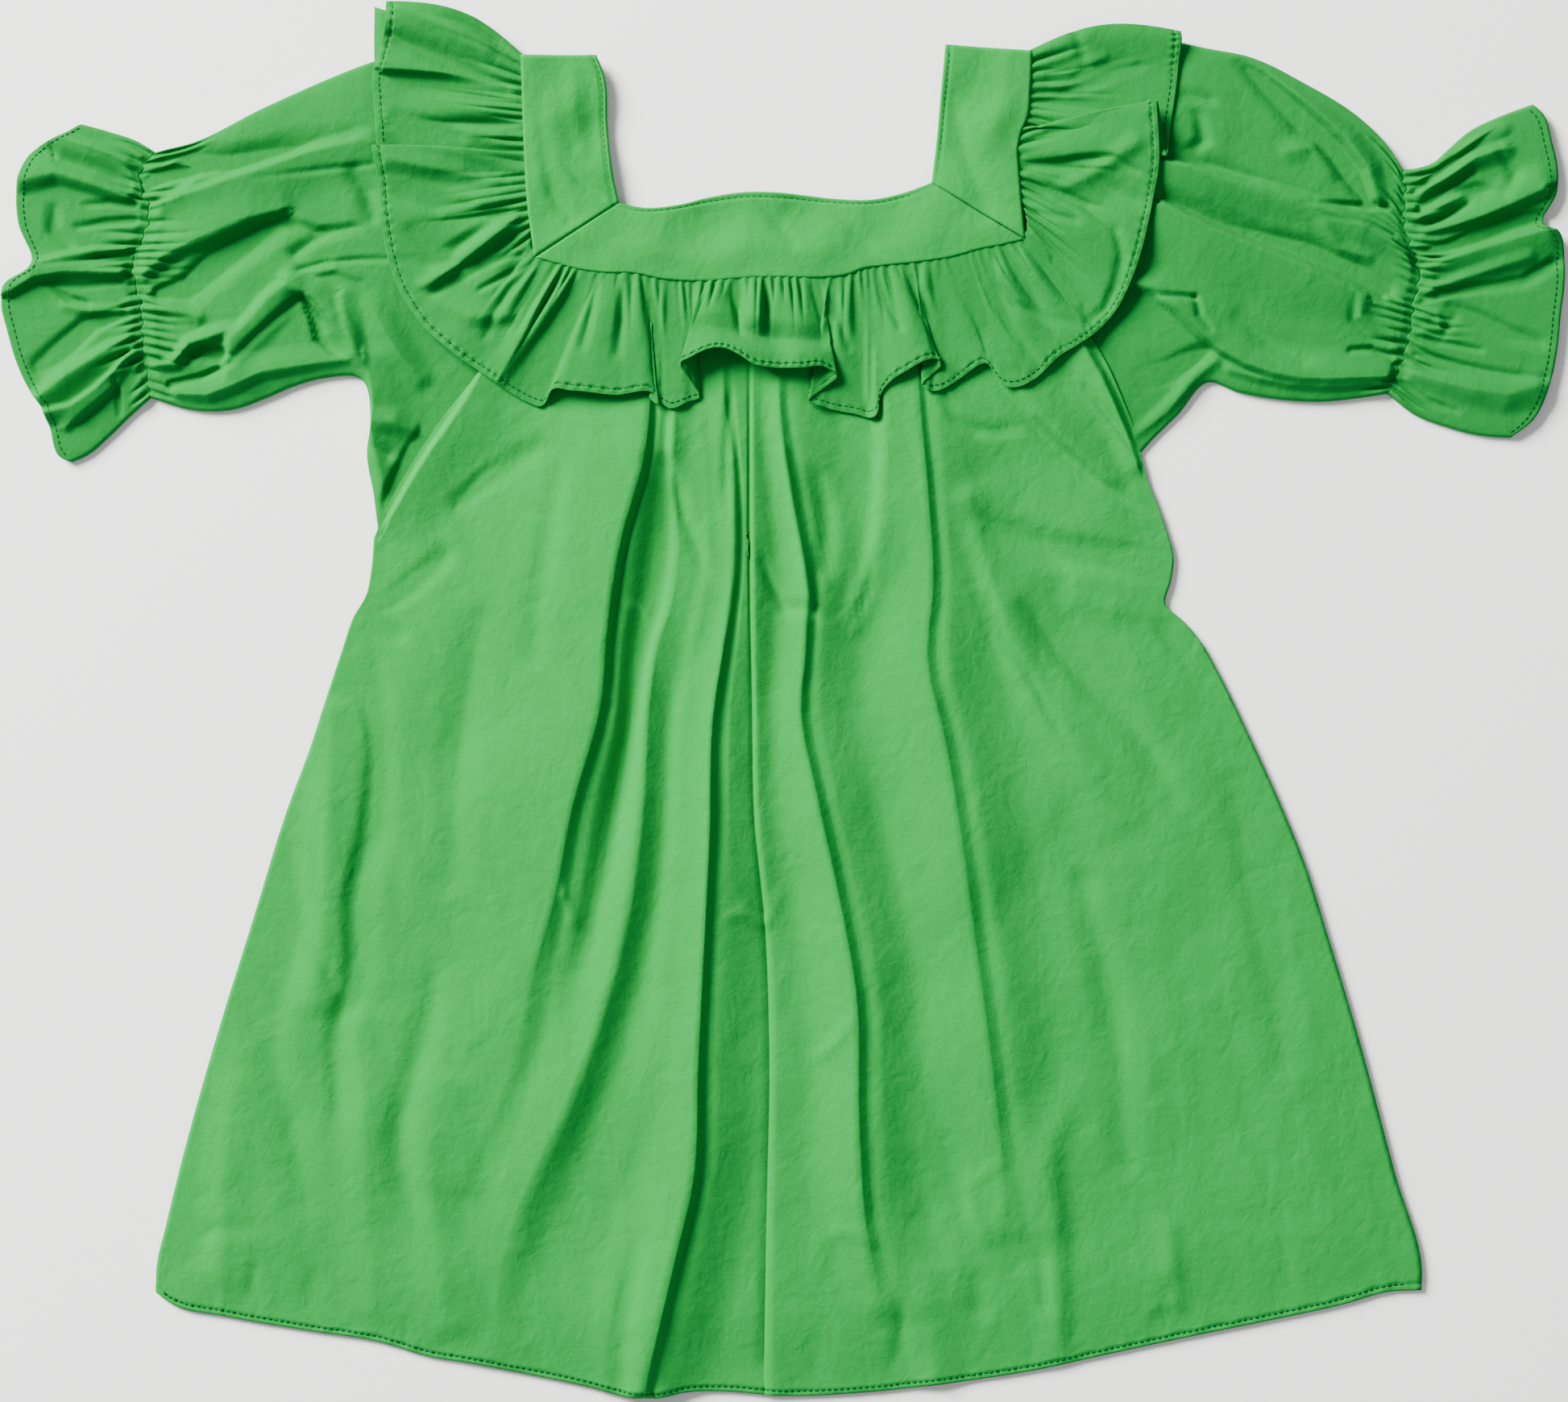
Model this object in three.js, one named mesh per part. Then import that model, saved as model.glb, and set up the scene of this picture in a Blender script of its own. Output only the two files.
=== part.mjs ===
// A cotton blouse with a square yoke, a gathered ruffle round it, gathered A-line body and
// elastic-gathered short sleeves that end in frills. It lies flat on its back.
// Millimetres. +X is to the right as seen from above, +Y towards the neck, +Z up.
// The origin is the middle of the outline, on the surface that the blouse lies on.

import * as THREE from "three";

// Driving sizes
const CLOTH = 1.0; // wall of one cloth layer
const YOKE_WALL = 2.0; // the yoke bands are cut double
const LAYER_GAP = 0.35; // air between two layers that lie on each other
const SEAM_GAP = 0.35; // between a seam's line and each piece that it joins
const RAGLAN_GAP = 0.9; // of a sleeve along its curved seam
const RUFFLE_DEPTH = 66; // of the ruffle behind, from its seam to its hem
const GATHER_PITCH = 4.8; // along the yoke seam
const GATHER_HEIGHT = 0.9; // half a gather's rise at the yoke seam
const CUFF_GATHERS = 22; // on the upper layer of a sleeve, at the elastic
const CUFF_GATHER_HEIGHT = 1.3;
const CREASE_MARGIN = 12; // a fold dies out over this length past its last row
const CLEAR_CELL = 4; // grid on which the ruffle finds what lies under it
const CLEARANCE = 0.8; // of the ruffle above what it lies on

const mixed = (a, b, t) => a + (b - a) * t;
const clamped = (x, low, high) => Math.min(high, Math.max(low, x));
const eased = (t) => {
  const c = clamped(t, 0, 1);
  return c * c * (3 - 2 * c);
};

// A smooth cubic through rows of numbers at increasing knots, read at any knot value.
function through(knots, rows) {
  const last = knots.length - 1;
  const slope = (i, k) => (rows[i + 1][k] - rows[i][k]) / (knots[i + 1] - knots[i]);
  const tangent = (i, k) => {
    if (i === 0) return slope(0, k);
    if (i === last) return slope(last - 1, k);
    const before = knots[i] - knots[i - 1];
    const after = knots[i + 1] - knots[i];
    return (slope(i - 1, k) * after + slope(i, k) * before) / (before + after);
  };
  return (at) => {
    const t = clamped(at, knots[0], knots[last]);
    let i = 0;
    while (i < last - 1 && knots[i + 1] < t) i++;
    const width = knots[i + 1] - knots[i];
    const s = (t - knots[i]) / width;
    return rows[i].map((start, k) => {
      const end = rows[i + 1][k];
      const bend = s * (1 - s) ** 2 * tangent(i, k) - s * s * (1 - s) * tangent(i + 1, k);
      return start + (end - start) * s * s * (3 - 2 * s) + width * bend;
    });
  };
}

// A curve through [x, y] points, read by its share of length, from 0 to 1.
function curveThrough(points) {
  const knots = [0];
  for (let i = 1; i < points.length; i++) {
    const step = Math.hypot(points[i][0] - points[i - 1][0], points[i][1] - points[i - 1][1]);
    knots.push(knots[i - 1] + step);
  }
  const at = through(knots, points);
  const total = knots[knots.length - 1];
  return (share) => at(share * total);
}

// Curves that follow each other round corners; the corners fall at the given shares.
function joined(curves, corners) {
  const ends = [0, ...corners, 1];
  return (share) => {
    const i = Math.min(curves.length - 1, corners.filter((corner) => share >= corner).length);
    return curves[i]((share - ends[i]) / (ends[i + 1] - ends[i]));
  };
}

// The share of a curve's length at which it comes nearest to a point.
function shareNear(curve, [x, y]) {
  const steps = 800;
  let best = 0;
  let nearest = Infinity;
  for (let i = 0; i <= steps; i++) {
    const [cx, cy] = curve(i / steps);
    const away = Math.hypot(cx - x, cy - y);
    if (away < nearest) {
      nearest = away;
      best = i / steps;
    }
  }
  return best;
}

// A patch between four curves: near and far run with u, left and right run with v.
function patchBetween(near, far, left, right) {
  return (u, v) =>
    [0, 1].map((k) => {
      const across = mixed(near(u)[k], far(u)[k], v);
      const along = mixed(left(v)[k], right(v)[k], u);
      const corners = mixed(
        mixed(near(0)[k], near(1)[k], u),
        mixed(far(0)[k], far(1)[k], u),
        v,
      );
      return across + along - corners;
    });
}

// The height that one fold adds at a point. Its rows are [x, y, height, reach to the left of its
// direction, reach to the right], and its section is a raised cosine, steep where the reach is short.
function foldAt(rows, x, y) {
  let nearest = Infinity;
  let found = 0;
  for (let i = 0; i < rows.length - 1; i++) {
    const [ax, ay] = rows[i];
    const [bx, by] = rows[i + 1];
    const length2 = (bx - ax) ** 2 + (by - ay) ** 2;
    const t = ((x - ax) * (bx - ax) + (y - ay) * (by - ay)) / length2;
    const s = clamped(t, 0, 1);
    const dx = x - mixed(ax, bx, s);
    const dy = y - mixed(ay, by, s);
    const away = Math.hypot(dx, dy);
    if (away >= nearest) continue;
    nearest = away;
    const onLeft = (bx - ax) * dy - (by - ay) * dx > 0;
    const reach = mixed(rows[i][onLeft ? 3 : 4], rows[i + 1][onLeft ? 3 : 4], s);
    const past = Math.abs(t - s) * Math.sqrt(length2);
    const fade = 1 - eased(past / CREASE_MARGIN);
    const section = away < reach ? 0.5 * (1 + Math.cos((Math.PI * away) / reach)) : 0;
    found = mixed(rows[i][2], rows[i + 1][2], s) * section * fade;
  }
  return found;
}
const foldsAt = (folds, x, y) => folds.reduce((sum, fold) => sum + foldAt(fold, x, y), 0);

// Outlines, as [x, y] points in the order that the scissors would go

const LEFT_STRAP_SEAM = [[-130, 320.3], [-129.3, 300], [-128.2, 271], [-126.9, 248.5], [-123.2, 219.6]];
const BAND_SEAM = [
  [-123.2, 219.6], [-113, 216.8], [-100.5, 213.6], [-87.7, 212], [-73, 211.6], [-62, 209.2], [-36.5, 207.8],
  [-20.5, 209.2], [0, 209.7], [19.4, 209.6], [32.2, 211], [40.2, 214], [51.4, 215.6], [67.4, 217.3],
  [83.4, 219.7], [99.4, 224], [109, 225.8], [120.2, 228.5],
];
const RIGHT_STRAP_SEAM = [[120.2, 228.5], [117.3, 261], [116.7, 274], [118.4, 282], [121.3, 288.5], [122.8, 303], [123.7, 322.3]];
const NECK_LEFT = [[-92.5, 320.3], [-88.5, 310], [-86.9, 284], [-84.5, 263], [-81.3, 247]];
const NECK_FRONT = [
  [-81.3, 247], [-68.5, 244.6], [-52.5, 246], [-36.5, 249.8], [-20.5, 252.2], [-4.5, 252.2],
  [11.5, 250.8], [27.5, 249], [43.4, 248.6], [59.4, 251.8], [73.8, 257],
];
const NECK_RIGHT = [[73.8, 257], [76.2, 277], [78.2, 300], [80.6, 325.5]];

const RAGLAN_LEFT = [[-123.2, 219.6], [-138, 188], [-148.5, 167], [-169, 140], [-185, 116], [-196, 97], [-203.2, 80.5]];
const RAGLAN_RIGHT = [[120.2, 228.5], [135, 206], [151, 183], [161, 167], [167.5, 152.5], [174, 136.5], [178.2, 121]];
const SIDE_LEFT = [
  [-203.2, 80.5], [-204.6, 64], [-207, 52.5], [-213.4, 41.3], [-219, 25], [-223.7, 11], [-235, -24], [-245.5, -52],
  [-263, -108], [-283, -172.5], [-299, -230], [-306.7, -261.5], [-311, -280], [-311.6, -294],
];
const SIDE_RIGHT = [
  [178.2, 121], [181.5, 109], [187, 95], [191, 83.5], [194.2, 71], [193, 60], [190.2, 47.5], [198, 40.5], [207.5, 29.5],
  [215.5, 15.5], [231.5, -17], [247.5, -52], [259, -80], [271, -117.5], [284.8, -163], [304.5, -236], [317.6, -284], [317.4, -293],
];
const HEM = [
  [-311.6, -294], [-304.7, -299.3], [-277, -306], [-238, -312.8], [-198, -319.4], [-178.5, -325.4], [-139, -332.4],
  [-98.9, -340.6], [-75, -346.2], [-61.4, -346.5], [-49.5, -343.8], [-29.8, -343.2], [0, -345.4], [39.3, -343.8],
  [81.5, -339.3], [121, -333.4], [160.4, -325.1], [200, -316.6], [241.3, -308.2], [278.8, -300], [302.4, -293.6], [317.4, -293],
];

const LEFT_SLEEVE = {
  top: [[-311.7, 272.5], [-295, 276.8], [-258, 294.8], [-220.6, 311.2], [-202, 318], [-165, 323], [-130.5, 320.3]],
  bottom: [
    [-314, 150.4], [-297, 145.2], [-286, 143.9], [-272.8, 145.2], [-258, 150.7], [-243, 157.3], [-229.9, 161],
    [-211.6, 161], [-207.2, 139], [-209.2, 124.5], [-206.2, 104], [-204.8, 91], [-203.4, 80.9],
  ],
  cuff: [
    [-311.7, 272.5], [-318.6, 263.7], [-318.6, 254.3], [-314.5, 245], [-316.7, 232], [-322.6, 219],
    [-322, 209.5], [-318.6, 196.4], [-318, 183.4], [-316.7, 170.3], [-314, 150.4],
  ],
  inner: [LEFT_STRAP_SEAM, RAGLAN_LEFT],
  innerCorner: 17,
  away: -RAGLAN_GAP,
};
const RIGHT_SLEEVE = {
  top: [[307.9, 263.9], [301, 275.4], [286.4, 290], [258.8, 307.3], [233, 319.8], [209, 324.5], [197.7, 327], [160, 328], [124.2, 322.3]],
  bottom: [
    [300.6, 152.4], [286.4, 150.4], [269.2, 148.8], [245, 150.5], [227.8, 154], [214.3, 159.1],
    [198.8, 142.8], [186.7, 130.7], [178.6, 121.4],
  ],
  cuff: [
    [307.9, 263.9], [309, 251.3], [308.5, 237.5], [313.9, 220.3], [316.2, 210], [313.3, 198],
    [312.2, 187.5], [309.6, 175.5], [305.3, 163.4], [300.6, 152.4],
  ],
  inner: [RIGHT_STRAP_SEAM.toReversed(), RAGLAN_RIGHT],
  innerCorner: 19,
  away: RAGLAN_GAP,
};
const LEFT_FRILL = {
  top: [[-312.1, 272.9], [-321.4, 278.4], [-336.3, 283.3], [-348.6, 286.6]],
  bottom: [[-314.4, 150], [-325.1, 140.4], [-334.5, 131.2], [-345.7, 121.8], [-353.1, 118.4]],
  hem: [
    [-348.6, 286.6], [-360.6, 279.6], [-370, 274.8], [-379.2, 260], [-380.6, 250.6], [-379.6, 237.5], [-373, 216],
    [-386.7, 205.6], [-388, 198.3], [-385, 183.4], [-379.2, 164.7], [-373.6, 153.5], [-368, 146], [-364.3, 136.7], [-358.5, 120.6], [-353.1, 118.4],
  ],
  away: -SEAM_GAP,
};
const RIGHT_FRILL = {
  top: [[308.3, 264.3], [315.7, 265.1], [323.4, 267.7], [331.2, 274.5], [341.5, 283.2], [355.3, 290], [372.5, 296.4]],
  bottom: [[301, 152], [313.9, 141.9], [329.5, 135.9], [346.7, 131.6], [361.5, 130.5]],
  hem: [
    [372.5, 296.4], [377.5, 291.5], [382, 277.1], [384.6, 265.1], [384.4, 253], [378, 236],
    [384.4, 233.6], [388, 218.6], [388, 206.5], [386.3, 192.7], [384.6, 175.5], [381.1, 158.3], [372.5, 139.3], [361.5, 130.5],
  ],
  away: SEAM_GAP,
};

// Folds, as rows of [x, y, height, reach left, reach right]; a fold that runs down has its left to the east

const BODY_FOLDS = {
  leftRaglanRoll: [[-142, 176, 2.5, 16, 5], [-158, 148, 4.5, 24, 4.5], [-178, 119, 4.5, 26, 4.5], [-196, 88, 3.5, 22, 4]],
  rightRaglanRoll: [[140, 190, 1.5, 4, 12], [156, 164, 3, 4, 14], [169, 136, 3, 4, 12], [176, 118, 2, 3, 10]],
  leftPanelEdge: [
    [-70, 196, 1, 5, 40], [-66, 150, 5, 4.5, 60], [-68.5, 122, 8, 4.5, 70], [-80, 80, 9, 4.5, 75], [-87, 35, 9, 4.5, 80],
    [-90, 0, 8.5, 5, 80], [-105, -55, 8, 5, 80], [-113, -95, 7, 7, 70], [-123, -130, 5, 9, 60], [-133, -180, 3.5, 12, 50], [-160, -240, 1.5, 16, 40],
  ],
  secondFoldLeft: [
    [-57, 195, 1, 10, 3], [-54, 145, 4, 16, 4], [-55, 118, 5, 22, 4.5], [-53, 70, 5, 24, 5], [-56, 48, 5, 24, 6],
    [-63, 28, 5.5, 24, 5], [-67, 0, 5.5, 14, 7], [-70, -52, 5.5, 12, 14], [-76, -100, 5.5, 13, 22], [-93, -165, 6, 15, 26],
    [-110, -208, 6, 16, 30], [-126, -242, 5.5, 16, 30], [-140, -285, 4, 15, 28], [-141, -330, 3.5, 14, 26],
  ],
  secondFoldRight: [
    [-32, 190, 1, 5, 12], [-29, 150, 4, 5, 14], [-23, 105, 6, 4.5, 16], [-23, 60, 7, 4.5, 18], [-29, 30, 8, 4.5, 22],
    [-34.5, -5, 9, 4.5, 24], [-36.5, -70, 9.5, 4.5, 24], [-38, -100, 9.5, 4.5, 26], [-42, -180, 9.5, 4.5, 34],
    [-44.5, -238, 10, 4.5, 40], [-54, -279, 10, 4.5, 40], [-66, -330, 8, 6, 34], [-69, -343, 7, 6, 26],
  ],
  centreEdge: [
    [-15, 190, 1, 14, 2], [-15, 150, 2.5, 14, 2], [-15, 60, 4, 24, 2.2], [-14, 0, 4, 26, 2.2], [-13, -60, 3.5, 28, 2.2],
    [-8, -108, 2.2, 26, 2], [-5.5, -170, 1.4, 24, 2], [-7, -260, 1.6, 22, 2], [-8.4, -343, 1.6, 20, 2],
  ],
  rightOfCentre: [
    [0, 190, 1, 5, 8], [-2, 150, 3.5, 6, 10], [4, 100, 5, 8, 12], [11, 60, 6, 8, 16], [11, 25, 6, 6, 18], [8.5, -5, 6, 6, 18],
    [16, -45, 7, 6, 22], [28, -100, 7.5, 5.5, 26], [36, -145, 7.5, 5, 28], [37.5, -210, 7, 5, 28], [41, -262, 5, 6, 24], [48, -300, 2, 12, 20],
  ],
  underRuffle: [[46, 190, 1, 12, 4], [49, 150, 4, 20, 3.5], [48.5, 104, 3.5, 22, 4], [45, 72, 2.5, 18, 6], [34, 38, 1.5, 12, 10]],
  rightPanelEdge: [
    [65, 195, 1, 5, 20], [67, 155, 5, 4.5, 26], [71, 110, 7, 4.5, 30], [74, 55, 7.5, 5, 36], [71, 22, 7, 5.5, 36],
    [80, -20, 7, 6, 38], [86, -55, 6.5, 6.5, 40], [95, -120, 6, 7, 40], [103, -180, 5.5, 7, 36], [108, -225, 4, 8, 28], [110, -262, 2, 14, 22],
  ],
  rightDiagonal: [[104, 168, 2, 20, 8], [128, 141, 4, 22, 8], [150, 121, 4.5, 20, 6], [168, 104, 3.5, 12, 5]],
  rightShoulderOfPanel: [[92, 100, 2, 26, 12], [108, 45, 3.5, 34, 10], [122, 8, 3.5, 34, 12], [148, -28, 2.5, 30, 18], [166, -60, 1, 26, 22]],
  rightHollow: [[96, 92, -1, 10, 12], [130, 77, -3, 12, 14], [165, 70, -3.5, 12, 12], [190, 66, -2.5, 10, 10]],
  rightBelly: [[150, 52, 1.5, 26, 14], [186, 42, 2, 20, 12]],
  leftPinch: [[-211, 42, -2, 6, 6], [-188, 54, -2.5, 8, 8], [-168, 72, -1.5, 10, 10]],
  leftPinchBelow: [[-211, 38, -1, 6, 6], [-190, 33, -1.6, 8, 8]],
  leftSideRidge: [[-224, -5, 2, 18, 12], [-226, -60, 3.5, 20, 14], [-228, -115, 3, 18, 14], [-232, -150, 2, 16, 14]],
  leftHemRidge: [[-212, -160, 2, 22, 12], [-208, -205, 3, 24, 12], [-206, -260, 2.2, 24, 14], [-205, -300, 1.5, 22, 14]],
  leftMiddleRidge: [[-170, -190, 1.5, 20, 16], [-176, -225, 3, 22, 14], [-172, -262, 2.5, 20, 16], [-165, -310, 2, 18, 16]],
  leftCornerRidge: [[-272, -190, 1, 14, 12], [-278, -240, 1.8, 14, 12], [-278, -285, 1.5, 14, 12]],
  rightHemRidge: [[148, -190, 1, 12, 12], [134, -218, 2.5, 7, 14], [135, -260, 3, 7, 16], [137, -310, 3, 7, 16], [137, -326, 2, 7, 14]],
  rightCornerRidge: [[192, -262, 1, 10, 14], [193, -300, 1.8, 8, 14]],
  hemNearCentre: [[72, -285, 1, 20, 14], [76, -338, 2, 20, 14]],
};

const LEFT_SLEEVE_FOLDS = {
  upperRidge: [[-312, 241, 3, 6, 18], [-280, 255, 4.5, 6, 24], [-250, 265.5, 4, 7, 24], [-222, 275, 2.5, 9, 22], [-196, 281, 1.5, 12, 20]],
  middleRidge: [[-316, 213, 2, 14, 6], [-290, 228, 4, 16, 7], [-265, 240, 3, 14, 8], [-246, 243, 1.5, 12, 10]],
  lowerRidge: [[-277, 168, 3, 6, 14], [-262, 190, 4, 8, 14], [-245, 206, 3.5, 10, 14]],
  elbowRidge: [[-245, 206, 3.5, 12, 5], [-232, 196, 3.5, 12, 5], [-219, 180, 3, 12, 5], [-213, 166, 2, 10, 5]],
  lowerHollow: [[-306, 176, -1, 7, 7], [-290, 177, -2.2, 8, 8], [-275, 179, -1, 7, 7]],
  bottomRoll: [[-300, 152, 2, 12, 6], [-278, 153, 3, 14, 7], [-255, 160, 2.5, 14, 7], [-225, 168, 1.5, 12, 6]],
  underarmRidge: [[-196, 196, 1, 10, 10], [-183, 174, 2.5, 9, 9], [-166, 158, 1.5, 8, 8]],
  underarmRoll: [[-204, 138, 1.5, 9, 8], [-186, 139, 2, 9, 8]],
};
const RIGHT_SLEEVE_FOLDS = {
  upperRidge: [[186, 266, 2.5, 6, 16], [212, 258, 4, 6, 18], [245, 246, 3.5, 6, 18], [276, 236, 3, 7, 16], [303, 224, 2, 8, 12]],
  middleRidge: [[188, 238, 1.5, 10, 26], [222, 224, 3.5, 10, 30], [255, 210, 3.5, 10, 30], [292, 196, 2, 10, 24]],
  lowerEdge: [[172, 209, 2, 18, 4], [190, 200, 3.5, 20, 4], [213, 181, 4.5, 22, 4.5], [240, 167, 4, 20, 5], [268, 161, 3, 18, 5], [296, 163, 1.5, 14, 5]],
  capHollow: [[236, 312, -0.8, 8, 8], [258, 292, -2.2, 9, 9], [276, 278, -2.2, 9, 9], [290, 252, -1.5, 8, 8]],
  capRidge: [[216, 312, 1, 12, 14], [236, 286, 2.5, 14, 16], [258, 262, 2, 12, 14]],
  underarmRidge: [[184, 130, 0.8, 6, 6], [202, 149, 1.6, 7, 7], [216, 165, 1, 6, 6]],
};
const LEFT_FRILL_FOLDS = {
  topLobe: [[-330, 264, 2, 12, 9], [-352, 268, 4, 16, 12], [-368, 264, 4, 16, 14]],
  middleLobe: [[-330, 238, 2, 9, 9], [-352, 240, 3.5, 12, 14], [-372, 240, 3.5, 14, 16]],
  overlap: [[-326, 214, 2.5, 4.5, 12], [-350, 213, 4.5, 4.5, 16], [-376, 205, 4.5, 5, 18]],
  lowerLobe: [[-326, 184, 1.5, 12, 7], [-350, 176, 3.5, 16, 7], [-374, 168, 3.5, 16, 8]],
  lowestLobe: [[-324, 160, 1.5, 8, 8], [-345, 148, 3.5, 12, 6], [-362, 146, 3.5, 12, 6]],
};
const RIGHT_FRILL_FOLDS = {
  topLobe: [[318, 256, 2, 7, 8], [345, 270, 4, 12, 16], [370, 276, 4, 14, 18]],
  middleLobe: [[322, 240, 2, 8, 8], [345, 250, 3, 10, 14], [372, 258, 3, 10, 12]],
  overlap: [[322, 213, 2.5, 4.5, 9], [350, 222, 4.5, 4.5, 14], [376, 228, 4.5, 5, 18]],
  lowerLobe: [[320, 186, 1.5, 8, 9], [345, 188, 2.5, 12, 16], [374, 192, 3, 14, 18]],
  lowestLobe: [[316, 164, 1.5, 10, 8], [340, 154, 3, 16, 12], [366, 152, 3, 18, 14]],
};

// The ruffle's hem in front, as rows of [length along the yoke seam, x, y, height, bow], from the
// left shoulder to the right one. The bow moves a gather's middle sideways, off the straight line.
const RUFFLE_HEM = [
  [0, -196.5, 346.5, 8, 9], [8, -197.5, 332, 10, 3], [14, -201, 319, 9, 0], [20, -203.5, 310, 6, 0], [28, -203, 300, 5, 0],
  [37, -202, 288, 7, 0], [44, -201.5, 279, 6, 0], [47, -200.5, 267, 4, 0], [50, -203, 274.5, 10, 2], [58, -200.8, 258, 9, 0],
  [66, -199.7, 243.7, 8, 0], [74, -197.8, 230, 7, 0], [79, -196, 220, 7.5, 0], [84, -191, 205, 8.5, 0], [90, -180, 187.5, 9, 0],
  [97, -168, 176, 9, 0], [102, -159.7, 169.3, 8.5, 0], [108, -150, 163, 8, 0], [115, -142, 157.3, 6.5, 0], [122, -135, 152.5, 5, 0],
  [127, -127, 148, 5, 0], [131, -119.7, 145.8, 6, 0], [133, -117.8, 148, 8, 0], [135, -115.2, 153, 11, 0], [140, -104, 153.2, 12, 0],
  [148, -83, 151, 12, 0], [155, -63.4, 151.2, 12, 0], [157, -61.3, 146.4, 9.5, 0], [160.5, -65.5, 149, 5.4, 0], [165, -60, 147, 3.6, 0],
  [169, -55.5, 144.5, 4.5, 0], [175, -46, 148.2, 5, 0], [179, -41.5, 150.5, 6, 0], [182.5, -46.5, 159, 10.5, 0], [185.5, -51, 166, 14.5, 0],
  [189, -46, 169.3, 17, 0], [194, -37, 173.5, 19, 0], [200, -29, 174, 19, 0], [206, -22, 171, 18, 0], [213, -14, 166, 16, 0],
  [220, -5, 164.5, 15, 0], [230, 9, 164.4, 15, 0], [239, 22, 164.4, 13.5, 0], [243, 27, 160, 11, 0], [246, 20, 154.5, 8, 0],
  [249, 12.7, 148.6, 5, 0], [252.5, 20, 145.5, 4.2, 0], [259, 34, 142.4, 4.4, 0], [265.5, 47, 142.6, 5.5, 0], [268, 48.3, 151, 9, 0],
  [271, 52.5, 157, 11.5, 0], [276, 62, 163.5, 13, 0], [281, 71.5, 168.5, 13, 0], [284.5, 76.6, 168.8, 12, 0], [287.5, 78.3, 165.5, 10.4, 0],
  [290, 73.5, 161, 7.6, 0], [292.5, 69.3, 156.6, 5.4, 0], [295, 71.5, 153.6, 4.4, 0], [298, 78, 153.6, 5, 0], [302, 88, 159.5, 7, 0],
  [306, 97, 166, 9, 0], [309, 101.5, 166.8, 9, 0], [312, 104.5, 162.5, 7, 0], [315.5, 108.5, 156.8, 5.2, 0], [321, 117, 155.2, 5, 0],
  [326, 126, 160, 6, 0], [332, 136, 169.6, 8, 0], [340, 147, 176.6, 8.5, 0], [348, 156, 183, 8.5, 0], [356, 165.3, 193.4, 9, 0],
  [365, 172.6, 208, 9.5, 0], [374, 178.6, 226, 10, 0], [382, 183, 246, 10.5, 0], [391, 186.4, 268, 12, 0], [400, 185.3, 296.5, 13, 2],
  [404, 188, 283, 9, 0], [407.5, 189.8, 270, 5.4, 0], [414, 192.2, 285, 5.6, 0], [421, 194.8, 301, 6.4, 0], [430, 196.6, 317, 7.4, 0],
  [437, 197.8, 327.5, 7.6, 4], [442, 197.3, 331.7, 7, 8],
];
const BACK_RUFFLE_HEM = [
  [-203, 345], [-203, 318], [-196, 270], [-190, 215], [-165, 176], [-125, 150], [-60, 145], [0, 143],
  [60, 148], [115, 160], [158, 190], [178, 230], [183, 270], [190, 322],
];

// The yoke's outer seam as one path, and how far the cloth above the ruffle behind is lifted by it
const YOKE_SEAM = curveThrough([...LEFT_STRAP_SEAM, ...BAND_SEAM.slice(1), ...RIGHT_STRAP_SEAM.slice(1)]);
const SEAM_POINTS = Array.from({ length: 61 }, (_, i) => YOKE_SEAM(i / 60));
const LIFT_EDGE = RUFFLE_DEPTH + 12;
const LIFT_FADE = 36;

function fromYoke(x, y) {
  return SEAM_POINTS.reduce((least, [sx, sy]) => Math.min(least, Math.hypot(x - sx, y - sy)), Infinity);
}
const lift = (x, y) => (CLOTH + LAYER_GAP) * (1 - eased((fromYoke(x, y) - LIFT_EDGE) / LIFT_FADE));

// A closed body from a grid of upper points and a grid of lower points, [row][column]
function slab(upper, lower) {
  const rows = upper.length;
  const columns = upper[0].length;
  const positions = [...upper.flat(), ...lower.flat()].flat();
  const top = (i, j) => i * columns + j;
  const under = (i, j) => rows * columns + top(i, j);
  const faces = [];
  const quad = (a, b, c, d) => faces.push(a, b, c, a, c, d);
  for (let i = 0; i < rows - 1; i++) {
    for (let j = 0; j < columns - 1; j++) {
      quad(top(i, j), top(i + 1, j), top(i + 1, j + 1), top(i, j + 1));
      quad(under(i, j), under(i, j + 1), under(i + 1, j + 1), under(i + 1, j));
    }
    quad(top(i, 0), under(i, 0), under(i + 1, 0), top(i + 1, 0));
    quad(top(i, columns - 1), top(i + 1, columns - 1), under(i + 1, columns - 1), under(i, columns - 1));
  }
  for (let j = 0; j < columns - 1; j++) {
    quad(top(0, j), top(0, j + 1), under(0, j + 1), under(0, j));
    quad(top(rows - 1, j), under(rows - 1, j), under(rows - 1, j + 1), top(rows - 1, j + 1));
  }
  return facingOut(positions, faces);
}

// A closed body from rings of outer and inner points; both ends of the tube stay open
function openTube(outer, inner) {
  const rings = outer.length;
  const around = outer[0].length;
  const positions = [...outer.flat(), ...inner.flat()].flat();
  const out = (i, j) => i * around + (j % around);
  const inn = (i, j) => rings * around + out(i, j);
  const faces = [];
  const quad = (a, b, c, d) => faces.push(a, b, c, a, c, d);
  for (let j = 0; j < around; j++) {
    for (let i = 0; i < rings - 1; i++) {
      quad(out(i, j), out(i + 1, j), out(i + 1, j + 1), out(i, j + 1));
      quad(inn(i, j), inn(i, j + 1), inn(i + 1, j + 1), inn(i + 1, j));
    }
    quad(out(0, j), out(0, j + 1), inn(0, j + 1), inn(0, j));
    quad(out(rings - 1, j), inn(rings - 1, j), inn(rings - 1, j + 1), out(rings - 1, j + 1));
  }
  return facingOut(positions, faces);
}

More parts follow.
